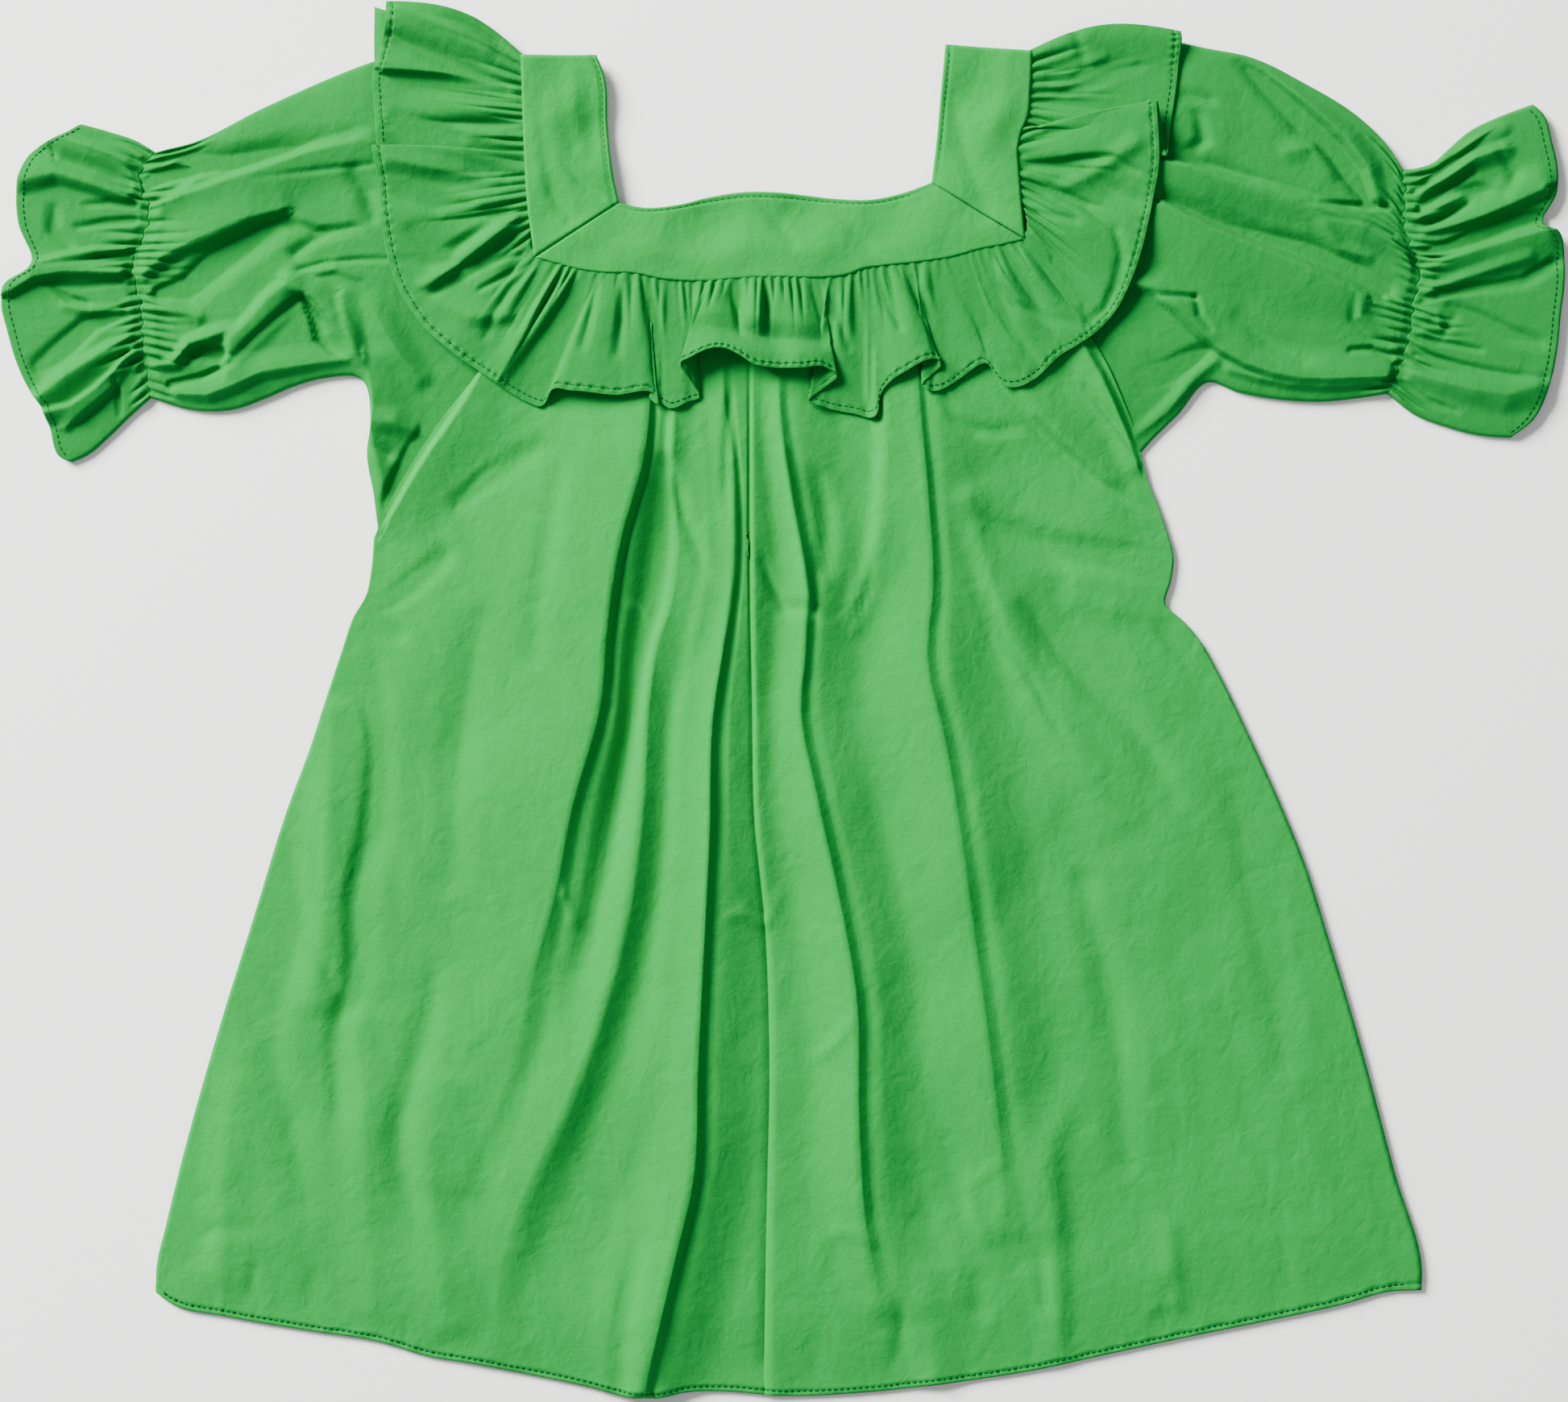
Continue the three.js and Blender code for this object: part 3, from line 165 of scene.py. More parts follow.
SIDE_LEFT = [
    (-203.2, 80.5), (-204.6, 64), (-207, 52.5), (-213.4, 41.3), (-219, 25), (-223.7, 11), (-235, -24),
    (-245.5, -52), (-263, -108), (-283, -172.5), (-299, -230), (-306.7, -261.5), (-311, -280),
    (-311.6, -294),
]
SIDE_RIGHT = [
    (178.2, 121), (181.5, 109), (187, 95), (191, 83.5), (194.2, 71), (193, 60), (190.2, 47.5),
    (198, 40.5), (207.5, 29.5), (215.5, 15.5), (231.5, -17), (247.5, -52), (259, -80), (271, -117.5),
    (284.8, -163), (304.5, -236), (317.6, -284), (317.4, -293),
]
HEM = [
    (-311.6, -294), (-304.7, -299.3), (-277, -306), (-238, -312.8), (-198, -319.4), (-178.5, -325.4),
    (-139, -332.4), (-98.9, -340.6), (-75, -346.2), (-61.4, -346.5), (-49.5, -343.8), (-29.8, -343.2),
    (0, -345.4), (39.3, -343.8), (81.5, -339.3), (121, -333.4), (160.4, -325.1), (200, -316.6),
    (241.3, -308.2), (278.8, -300), (302.4, -293.6), (317.4, -293),
]
LEFT_SLEEVE = {
    "top": [
        (-311.7, 272.5), (-295, 276.8), (-258, 294.8), (-220.6, 311.2), (-202, 318), (-165, 323),
        (-130.5, 320.3),
    ],
    "bottom": [
        (-314, 150.4), (-297, 145.2), (-286, 143.9), (-272.8, 145.2), (-258, 150.7), (-243, 157.3),
        (-229.9, 161), (-211.6, 161), (-207.2, 139), (-209.2, 124.5), (-206.2, 104), (-204.8, 91),
        (-203.4, 80.9),
    ],
    "cuff": [
        (-311.7, 272.5), (-318.6, 263.7), (-318.6, 254.3), (-314.5, 245), (-316.7, 232), (-322.6, 219),
        (-322, 209.5), (-318.6, 196.4), (-318, 183.4), (-316.7, 170.3), (-314, 150.4),
    ],
    "inner": (LEFT_STRAP_SEAM, RAGLAN_LEFT),
    "corner": 0.386,
    "tuck": (3.0, -1.5),
}
RIGHT_SLEEVE = {
    "top": [
        (307.9, 263.9), (301, 275.4), (286.4, 290), (258.8, 307.3), (233, 319.8), (209, 324.5),
        (197.7, 327), (160, 328), (124.2, 322.3),
    ],
    "bottom": [
        (300.6, 152.4), (286.4, 150.4), (269.2, 148.8), (245, 150.5), (227.8, 154), (214.3, 159.1),
        (198.8, 142.8), (186.7, 130.7), (178.6, 121.4),
    ],
    "cuff": [
        (307.9, 263.9), (309, 251.3), (308.5, 237.5), (313.9, 220.3), (316.2, 210), (313.3, 198),
        (312.2, 187.5), (309.6, 175.5), (305.3, 163.4), (300.6, 152.4),
    ],
    "inner": (RIGHT_STRAP_SEAM[::-1], RAGLAN_RIGHT),
    "corner": 0.432,
    "tuck": (-3.0, -1.0),
}
LEFT_FRILL = {
    "top": [(-312.1, 272.9), (-321.4, 278.4), (-336.3, 283.3), (-348.6, 286.6)],
    "bottom": [(-314.4, 150), (-325.1, 140.4), (-334.5, 131.2), (-345.7, 121.8), (-353.1, 118.4)],
    "hem": [
        (-348.6, 286.6), (-360.6, 279.6), (-370, 274.8), (-379.2, 260), (-380.6, 250.6), (-379.6, 237.5),
        (-373, 216), (-386.7, 205.6), (-388, 198.3), (-385, 183.4), (-379.2, 164.7), (-373.6, 153.5),
        (-368, 146), (-364.3, 136.7), (-358.5, 120.6), (-353.1, 118.4),
    ],
}
RIGHT_FRILL = {
    "top": [
        (308.3, 264.3), (315.7, 265.1), (323.4, 267.7), (331.2, 274.5), (341.5, 283.2), (355.3, 290),
        (372.5, 296.4),
    ],
    "bottom": [(301, 152), (313.9, 141.9), (329.5, 135.9), (346.7, 131.6), (361.5, 130.5)],
    "hem": [
        (372.5, 296.4), (377.5, 291.5), (382, 277.1), (384.6, 265.1), (384.4, 253), (378, 236),
        (384.4, 233.6), (388, 218.6), (388, 206.5), (386.3, 192.7), (384.6, 175.5), (381.1, 158.3),
        (372.5, 139.3), (361.5, 130.5),
    ],
}
print("outlines:", len(HEM), "points along the hem")

# %% [markdown]
# ## Folds
# Cloth that lies still keeps soft ridges and sharp breaks. Each fold is a line of points with a
# height and a reach to either side, left and right of somebody who walks along the line. A short
# reach makes a sharp drop, as where a pleat falls over, and a height below 0 makes a hollow.
# Reading the folds from the photo one by one, and not from noise, keeps them uneven in length,
# depth and spacing.

# %% The height that folds add
CREASE_MARGIN = 12.0  # mm: a fold dies out over this length past its last row
CRISP = 0.55  # 0 is a soft roll, 1 a crease with a sharp crest
CREST_POWER = 1.8  # of the share that is left to the reach, in the section of a sharp crest
FOLD_STEP = 14.0  # mm between the points of a fold's line
FOOT_GAP, FOOT_MARGIN = 0.5, 1.5  # mm: a foot begins so far beyond its fold's drop, and fades back under it


def fold_at(rows, x, y):
    """Height times a section, 1 on the line and 0 at the reach: a raised cosine with a crisp crest."""
    nearest = np.full(x.shape, np.inf)
    found = np.zeros(x.shape)
    for (ax, ay, ah, al, ar), (bx, by, bh, bl, br) in zip(rows[:-1], rows[1:]):
        length2 = (bx - ax) ** 2 + (by - ay) ** 2
        t = ((x - ax) * (bx - ax) + (y - ay) * (by - ay)) / length2
        s = np.clip(t, 0, 1)
        dx, dy = x - mixed(ax, bx, s), y - mixed(ay, by, s)
        away = np.hypot(dx, dy)
        on_left = (bx - ax) * dy - (by - ay) * dx > 0
        reach = np.where(on_left, mixed(al, bl, s), mixed(ar, br, s))
        fade = 1 - eased(np.abs(t - s) * np.sqrt(length2) / CREASE_MARGIN)
        share = np.minimum(away / reach, 1)
        section = mixed(0.5 * (1 + np.cos(np.pi * share)), (1 - share) ** CREST_POWER, CRISP)
        closer = away < nearest
        found = np.where(closer, mixed(ah, bh, s) * section * fade, found)
        nearest = np.where(closer, away, nearest)
    return found


def drawn(rows):
    """The rows of a fold read along a smooth curve through them, so that the fold has no kinks."""
    rows = np.asarray(rows, float)
    run = np.concatenate([[0], np.cumsum(np.hypot(*np.diff(rows[:, :2], axis=0).T))])
    smooth = through(run, rows)(np.linspace(0, run[-1], max(len(rows), int(run[-1] / FOLD_STEP) + 1)))
    smooth[:, 3:] = np.maximum(smooth[:, 3:], rows[:, 3:].min())
    return smooth


def slumped(rows, share, reach):
    """The foot of a fold: beyond its drop the cloth comes down the last share of its height slowly."""
    return [
        (x + left + FOOT_GAP, y, height * share, reach, left + FOOT_MARGIN)
        for x, y, height, left, _ in rows
    ]


def folds_at(folds, x, y):
    """The sum of all folds at each place; each is worked out only near its own line."""
    total = np.zeros(x.shape)
    for rows in folds.values():
        rows = drawn(rows)
        reach = CREASE_MARGIN + max(max(r[3], r[4]) for r in rows)
        xs, ys = [r[0] for r in rows], [r[1] for r in rows]
        near = (x > min(xs) - reach) & (x < max(xs) + reach) & (y > min(ys) - reach) & (y < max(ys) + reach)
        total[near] += fold_at(rows, x[near], y[near])
    return total


# %% Folds of the body, as (x, y, height, reach left, reach right), each going down the front
BODY_FOLDS = {
    "left_raglan_roll": [
        (-142, 176, 1.8, 18, 3), (-158, 148, 2.8, 26, 3), (-178, 119, 2.8, 28, 3),
        (-196, 88, 1.8, 22, 3),
    ],
    "right_raglan_roll": [
        (140, 190, 1.5, 4, 12), (156, 164, 3, 4, 14), (169, 136, 3, 4, 12), (176, 118, 2, 3, 10),
    ],
    "left_panel_edge": [
        (-70, 196, 0.8, 5, 40), (-66, 150, 4.2, 4.5, 60), (-68.5, 122, 6.8, 4.5, 70),
        (-80, 80, 7.6, 4.5, 75), (-87, 35, 7.6, 5, 80), (-90, 0, 7.2, 6.5, 80), (-105, -55, 6.8, 8, 80),
        (-113, -95, 6, 10, 70), (-123, -130, 4.2, 13, 60), (-133, -180, 3, 15, 50),
        (-160, -240, 1.3, 18, 40),
    ],
    "second_fold_left": [
        (-57, 195, 0.6, 12, 3), (-54, 145, 2.6, 18, 4), (-55, 118, 3.2, 24, 4.5), (-53, 70, 3.4, 26, 5),
        (-56, 48, 3.8, 24, 6), (-63, 28, 4.8, 22, 5), (-67, 0, 5.2, 16, 7), (-70, -52, 5.4, 14, 14),
        (-76, -100, 5.5, 14, 22), (-93, -165, 5.8, 16, 26), (-110, -208, 5.6, 18, 30),
        (-126, -242, 4.4, 20, 30), (-138, -280, 2.4, 20, 28), (-142, -325, 0.8, 20, 26),
    ],
    "second_fold_body": [
        (-42, 190, 0.4, 14, 12), (-41, 145, 2, 16, 14), (-38, 105, 2.6, 14, 16), (-38, 60, 2.6, 12, 16),
        (-44, 30, 2.2, 12, 16), (-50, 0, 2, 12, 16), (-52, -60, 1.8, 12, 18), (-58, -120, 1.6, 14, 20),
        (-68, -180, 1.4, 14, 22), (-84, -240, 0.8, 14, 24),
    ],
    "left_valley_floor": [
        (-61, 118, -0.8, 8, 7), (-68, 60, -1.6, 9, 8), (-74, 25, -2.2, 9, 8), (-76, -5, -2.4, 9, 8),
        (-84, -55, -2.4, 10, 10), (-91, -95, -2.0, 11, 11), (-100, -135, -1.2, 12, 12),
    ],
    "second_fold_right": [
        (-32, 190, 0.9, 5, 12), (-29, 150, 3.5, 5, 14), (-24.5, 105, 5.3, 4.5, 16),
        (-25, 60, 6.2, 5, 18), (-29, 30, 7, 6, 22), (-34.5, -5, 7.9, 7, 24), (-36.5, -70, 8.4, 7.5, 24),
        (-38, -100, 8.4, 7.5, 26), (-42, -180, 8.4, 7, 34), (-44.5, -238, 8.8, 6.5, 40),
        (-54, -279, 8.8, 6.5, 40), (-66, -330, 7, 7, 34), (-69, -343, 6.2, 6, 26),
    ],
    "centre_edge": [
        (-15, 190, 0.6, 14, 2), (-15, 150, 1.4, 14, 2), (-15, 60, 2.2, 24, 2.2), (-14, 0, 2.2, 26, 2.2),
        (-13, -60, 1.9, 28, 2.2), (-8, -108, 1.2, 26, 2), (-5.5, -170, 0.8, 24, 2),
        (-7, -260, 0.9, 22, 2), (-8.4, -343, 0.9, 20, 2),
    ],
    "right_of_centre": [
        (0, 190, 1, 5, 8), (-2, 150, 3.5, 6, 10), (4, 100, 5, 8, 12), (11, 60, 6, 8, 16),
        (11, 25, 6, 6, 18), (8.5, -5, 6, 7, 18), (16, -45, 7, 8, 22), (28, -100, 7.5, 8.5, 26),
        (36, -145, 7.5, 8.5, 28), (37.5, -210, 7, 8.5, 28), (41, -262, 5, 9, 24), (48, -300, 2, 13, 20),
    ],
    "under_ruffle": [
        (46, 190, 1, 12, 4), (49, 150, 4, 20, 3.5), (48.5, 104, 3.5, 22, 4), (45, 72, 2.5, 18, 6),
        (34, 38, 1.5, 12, 10),
    ],
    "right_panel_edge": [
        (65, 195, 1, 5, 20), (67, 155, 4, 5, 26), (71, 110, 5.5, 6, 30), (74, 55, 5.5, 7.5, 36),
        (71, 22, 5.8, 8.5, 36), (80, -20, 6.2, 9, 38), (86, -55, 6, 9.5, 40), (95, -120, 5.6, 10, 40),
        (103, -180, 5, 10, 36), (108, -225, 3.6, 11, 28), (110, -262, 1.5, 15, 22),
    ],
    "right_diagonal": [
        (104, 168, 2, 20, 8), (128, 141, 4, 22, 8), (148, 123, 3.5, 20, 8), (162, 110, 1.2, 12, 8),
    ],
    "right_shoulder_of_panel": [
        (92, 100, 2, 26, 12), (108, 45, 3.5, 34, 10), (122, 8, 3.5, 34, 12), (148, -28, 2.5, 30, 18),
        (166, -60, 1, 26, 22),
    ],
    "right_hollow": [
        (96, 92, -1, 10, 12), (130, 77, -3, 12, 14), (165, 70, -3.5, 12, 12), (190, 66, -2.5, 10, 10),
    ],
    "right_belly": [(146, 52, 1.2, 26, 14), (168, 45, 2, 22, 14), (182, 42, 0.8, 20, 12)],
    "left_pinch": [(-205, 45, -0.6, 5, 5), (-188, 54, -2.2, 8, 8), (-168, 72, -1.5, 10, 10)],
    "left_pinch_below": [(-205, 38, -0.6, 5, 5), (-190, 33, -1.4, 8, 8)],
    "left_side_ridge": [
        (-224, -5, 1.6, 24.3, 16.2), (-226, -60, 2.8, 27, 18.9), (-228, -115, 2.4, 24.3, 18.9),
        (-232, -150, 1.6, 21.6, 18.9),
    ],
    "left_hem_ridge": [
        (-212, -160, 1.6, 29.7, 16.2), (-208, -205, 2.4, 32.4, 16.2), (-206, -260, 1.8, 32.4, 18.9),
        (-205, -300, 1.2, 29.7, 18.9),
    ],
    "left_middle_ridge": [
        (-170, -190, 1.2, 27, 21.6), (-176, -225, 2.4, 29.7, 18.9), (-172, -262, 2, 27, 21.6),
        (-165, -310, 1.6, 24.3, 21.6),
    ],
    "left_corner_ridge": [
        (-272, -190, 0.8, 18.9, 16.2), (-278, -240, 1.4, 18.9, 16.2), (-278, -285, 1.2, 18.9, 16.2),
    ],
    "right_hem_ridge": [
        (148, -190, 0.6, 15, 12), (134, -218, 1.5, 10, 14), (135, -260, 1.8, 10, 16),
        (137, -310, 1.8, 10, 16), (137, -326, 1.2, 10, 14),
    ],
    "right_corner_ridge": [(192, -262, 1, 10, 14), (193, -300, 1.8, 8, 14)],
    "hem_near_centre": [(72, -285, 1, 20, 14), (76, -338, 2, 20, 14)],
}
BODY_CREASES = {
    "raglan_crease": [
        (-118, 127, -0.9, 9, 8), (-130, 121, -1.5, 9, 8), (-150, 108, -1.5, 9, 8),
        (-162, 97, -0.8, 9, 8),
    ],
    "valley_seam": [(-76, 48, 0.8, 4, 4), (-68, 43, 1.6, 4, 4), (-65, 35, 1.0, 4, 4)],
    "inner_trough_left": [
        (-56, 118, -0.8, 6, 6), (-50, 95, -1.4, 7, 7), (-42, 75, -1.2, 7, 7), (-38, 62, -0.5, 6, 6),
    ],
    "inner_trough_right": [(-27, 150, -0.8, 4, 4), (-28, 110, -1.2, 4, 4), (-28, 97, -0.5, 4, 4)],
    "branch": [(-109, -95, 0.8, 4, 3), (-104, -110, 0.8, 4, 3)],
    "wedge": [(-71, -265, -1.2, 6, 6), (-77, -300, -2.2, 6, 8), (-81, -342, -1.6, 7, 8)],
    "centre_cross": [(-27, -106, 0.6, 3, 4), (-20, -104, 1.2, 3, 4), (-10, -111, 0.8, 3, 4)],
    "centre_arm": [(-8, -111, 0.8, 3, 3), (0, -95, 0.5, 3, 3)],
    "pressed_line": [
        (-16.4, 180, -0.5, 1.6, 1.6), (-16.2, 60, -1, 1.6, 1.6), (-15, 0, -1, 1.6, 1.6),
        (-13.8, -60, -1, 1.6, 1.6), (-9, -108, -0.8, 1.6, 1.6), (-6.6, -170, -0.7, 1.6, 1.6),
        (-8, -260, -0.7, 1.6, 1.6), (-9.4, -343, -0.7, 1.6, 1.6),
    ],
    "tongue": [(0, 125, 0.6, 5, 4), (7, 85, 1.3, 6, 4), (14, 47, 1.5, 5, 4)],
    "pinch_crease": [
        (-10, 70, -0.6, 4, 4), (-5, 55, -1.2, 4, 4), (2, 45, -1.6, 4, 4), (15, 46, -1.4, 4, 4),
    ],
    "facet": [(17, 112, -1.0, 6, 9), (22, 90, -1.8, 8, 9), (20, 66, -1.6, 8, 7)],
    "ruffle_crease": [
        (14, 150, -0.8, 4, 4), (25, 140, -1.2, 4, 4), (38, 128, -1.0, 4, 4), (45, 122, -0.5, 4, 4),
    ],
    "short_diagonal": [
        (45, 70, -0.6, 3, 3), (42, 55, -1.0, 3, 3), (35, 40, -1.0, 3, 3), (30, 34, -0.5, 3, 3),
    ],
    "kink_middle": [(33, -160, 0.8, 4, 3), (25, -170, 1.3, 4, 3), (17, -177, 0.8, 4, 3)],
    "kink_low": [
        (105, -232, 0.4, 5, 5), (92, -240, 0.7, 5, 5), (95, -255, 0.6, 5, 5), (100, -268, 0.3, 5, 5),
    ],
    "triangle": [(44, -268, 0.5, 5, 6), (25, -262, 0.7, 5, 7), (17, -283, 0.4, 5, 6)],
    "right_crease": [
        (102, 48, -0.5, 5, 4), (114, 25, -1.1, 5, 4), (127, 3, -1, 5, 4), (140, -20, -0.8, 5, 5),
        (155, -33, -0.4, 5, 5),
    ],
    "smile": [
        (80, 150, -0.6, 4, 4), (85, 140, -1.2, 5, 4), (95, 134, -1.4, 5, 4), (105, 133, -1.2, 5, 4),
        (120, 137, -0.5, 4, 4),
    ],
    "broad_diagonal": [
        (120, 47, -0.8, 8, 8), (136, 28, -1.8, 9, 10), (156, 6, -2.0, 10, 11), (180, -20, -1.4, 10, 12),
        (195, -50, -0.6, 10, 12),
    ],
    "long_crease": [
        (103, 165, -0.8, 4, 4), (122, 140, -1.4, 4, 4), (145, 118, -1.4, 4, 4), (162, 105, -1.0, 4, 4),
        (177, 97, -0.6, 3, 3),
    ],
    "edge_line": [
        (150, 156, -0.6, 3, 3), (158, 146, -1.0, 3, 3), (165, 137, -1.0, 3, 3), (176, 121, -0.5, 3, 3),
    ],
    "side_hollow": [(188, 36, -0.4, 6, 6), (198, 26, -1.4, 7, 7), (208, 14, -0.5, 6, 6)],
    "left_band_1": [
        (-213, 28, -0.8, 14, 7.5), (-203, -10, -1.6, 16, 7.5), (-205, -60, -1.8, 16, 7.5),
        (-214, -100, -1.6, 16, 7.5), (-213, -135, -1.4, 16, 8), (-222, -165, -1.2, 16, 8),
        (-220, -205, -0.8, 15, 8),
    ],
    "left_band_2": [
        (-247, -80, -0.5, 12, 12), (-246, -100, -1, 16.5, 16.5), (-256, -165, -1.4, 18, 18),
        (-246, -205, -1.4, 18, 18), (-236, -250, -0.7, 18, 18),
    ],
    "left_s_trough": [
        (-172, -130, -0.5, 9, 9), (-175, -155, -1, 10.5, 12), (-186, -195, -1.2, 10.5, 12),
        (-191, -218, -1.2, 10.5, 12), (-186, -245, -1, 10.5, 12), (-181, -265, -0.5, 9, 9),
    ],
    "left_diagonal": [(-240, -110, -0.5, 5, 5), (-222, -140, -0.9, 5, 5)],
    "hem_soft_1": [(192, -290, -0.8, 6, 6), (188, -312, -1.2, 6, 6)],
    "hem_soft_2": [(60, -300, -0.6, 6, 8), (58, -336, -1.4, 6, 8)],
    "hem_soft_3": [(97, -288, -0.6, 10, 10), (97, -302, -0.9, 10, 10)],
    "hem_soft_4": [(128, -275, -0.8, 4, 4), (130, -300, -1.2, 4, 4)],
    "hem_soft_5": [(-232, -285, -0.5, 6, 6), (-236, -312, -1.3, 7, 7)],
    "hem_soft_6": [(-262, -280, -0.4, 5, 5), (-266, -306, -1.1, 6, 6)],
    "hem_soft_7": [(248, -270, -0.4, 7, 7), (252, -306, -1.1, 8, 8)],
    "hem_soft_8": [(16, -318, -0.4, 8, 8), (18, -345, -1.2, 8, 8)],
    "corner_wrinkle_1": [(-300, -270, -0.5, 5, 5), (-280, -262, -0.8, 5, 5), (-262, -262, -0.4, 5, 5)],
    "corner_wrinkle_2": [(-304, -250, -0.4, 4, 4), (-285, -244, -0.7, 4, 4)],
    "soft_right_1": [(225, -40, -0.6, 12, 12), (240, -110, -1.2, 14, 14), (250, -180, -0.8, 14, 14)],
    "soft_right_2": [(150, -90, -0.8, 14, 14), (165, -160, -1.4, 16, 16), (170, -230, -0.8, 14, 14)],
    "soft_left_1": [(-150, 40, -0.8, 14, 14), (-160, -20, -1.3, 16, 16), (-165, -90, -0.8, 14, 14)],
    "soft_left_2": [(-110, 120, -0.6, 8, 8), (-118, 70, -1.0, 10, 10), (-124, 20, -0.7, 10, 10)],
}
SLUMPS = {  # fold: (share of its height that comes down slowly, over this reach in mm)
    "left_panel_edge": (0.6, 19),
    "second_fold_right": (0.64, 27),
    "right_of_centre": (0.72, 25),
    "right_panel_edge": (0.78, 27),
}
BODY_FEET = {f"{fold}_foot": slumped(BODY_FOLDS[fold], *slump) for fold, slump in SLUMPS.items()}
print("body folds:", len(BODY_FOLDS), "large and", len(BODY_CREASES), "small")

# %% [markdown]
# ## Layers
# Underneath all lies the back's ruffle. The cloth above it is lifted by its thickness near the
# yoke, and comes down to the table further out. Under the front's ruffle the gathers are pressed
# flat, and the folds only rise below it.

# %% Heights of the layers
CLOTH = 1.0  # mm of height for one layer
LAYER_GAP = 0.35  # mm of air between two layers
YOKE_WALL = 2.0  # mm: the yoke's bands are cut double
FLAT_FRONT = 2 * CLOTH + LAYER_GAP
LIFT_EDGE, LIFT_FADE = 78.0, 36.0  # mm from the yoke seam to where the lift fades, and how far it fades
BODY_PUFF, PUFF_REACH = 2.0, 45.0  # mm: its height, and how far from the sides it is reached
PUFF_UNEVEN = 0.4  # share of the unevenness that the puff takes on
FOLD_RELIEF, CREASE_RELIEF = 1.22, 1.7  # the tables hold the solids' heights, which loose cloth exceeds
PRESSED = 0.15  # share of a large fold's height that is left where the ruffle presses on it
PRESS_EDGE, PRESS_FADE = 4.0, 62.0  # mm from the yoke seam, in the same way as the lift
BROAD_WAVE, BROAD_HEIGHT = 95.0, 0.9  # mm: the cloth's slow unevenness
FINE_WAVE, FINE_HEIGHT = 30.0, 0.2  # mm: and its finer one
EDGE_FADE = 20.0  # mm: the unevenness dies out over this length towards the sides and the hem
RIPPLE_WAVES = 7

yoke_seam = curve_through(LEFT_STRAP_SEAM + BAND_SEAM[1:] + RIGHT_STRAP_SEAM[1:])
body_edge = curve_through(SIDE_LEFT + HEM[1:] + SIDE_RIGHT[::-1][1:])


def distance_to(curve, x, y, steps=121):
    """The distance to the nearest of the curve's points, which are taken one after the other."""
    near = np.full(x.shape, np.inf)
    for cx, cy in curve(np.linspace(0, 1, steps)):
        near = np.minimum(near, (x - cx) ** 2 + (y - cy) ** 2)
    return np.sqrt(near)


def lift(x, y):
    """One layer and its gap near the yoke, eased to nothing past the ruffle behind."""
    return (CLOTH + LAYER_GAP) * (1 - eased((distance_to(yoke_seam, x, y) - LIFT_EDGE) / LIFT_FADE))


def ripple(x, y, size, seed):
    """The mean of slow sine waves in different directions: soft unevenness without noise tables."""
    total = np.zeros(np.shape(x))
    for k in range(RIPPLE_WAVES):
        angle = 2.4 * k + seed
        length = size * (0.7 + 0.13 * ((k * 5 + seed) % RIPPLE_WAVES))
        total += np.sin((x * np.cos(angle) + y * np.sin(angle)) * 2 * np.pi / length + 1.7 * k * seed)
    return total / RIPPLE_WAVES


def front_height(x, y):
    """The front's upper side: flat layers, lift, folds, a soft puff away from the sides, small creases."""
    free = eased((distance_to(yoke_seam, x, y) - PRESS_EDGE) / PRESS_FADE)
    to_edge = distance_to(body_edge, x, y)
    puff = BODY_PUFF * eased(to_edge / PUFF_REACH)
    big = FOLD_RELIEF * folds_at({**BODY_FOLDS, **BODY_FEET}, x, y) * mixed(PRESSED, 1, free)
    small = CREASE_RELIEF * folds_at(BODY_CREASES, x, y) * free
    fine = FINE_HEIGHT * ripple(x * 1.4, y * 0.7, FINE_WAVE, 5)
    uneven = BROAD_HEIGHT * ripple(x, y, BROAD_WAVE, 3) + fine
    loose = big + small + puff * (1 + PUFF_UNEVEN * uneven) + uneven * free * eased(to_edge / EDGE_FADE)
    return FLAT_FRONT + lift(x, y) + np.maximum(0, loose)


# %% [markdown]
# ## A grid becomes cloth
# A grid of points is already a surface. It becomes a mesh with one call for the points and one
# for the faces, gets a UV map that holds the cut in metres, so that the weave follows the cloth,
# and a Solidify modifier gives it the thickness of cloth.

# %% Mesh makers
PANEL_CLOTH, SOFT_CLOTH = 0.8, 0.7  # mm of thickness: the body's, and that of sleeves, frills and ruffles
TOUCHING = 1e-7  # m: points closer than this are one point


def placed(name, data):
    """An object for a mesh, lamp or camera, in the scene, at the origin and unturned."""
    thing = bpy.data.objects.new(name, data)
    bpy.context.scene.collection.objects.link(thing)
    return thing


def turned_over(grid):
    """Whether the faces of the grid's first half look down: seen from above, they turn the other way."""
    half = grid[:, : grid.shape[1] // 2]
    down_rows, along_columns = half[1:, :-1] - half[:-1, :-1], half[:-1, 1:] - half[:-1, :-1]
    return (down_rows[..., 0] * along_columns[..., 1] - down_rows[..., 1] * along_columns[..., 0]).sum() < 0


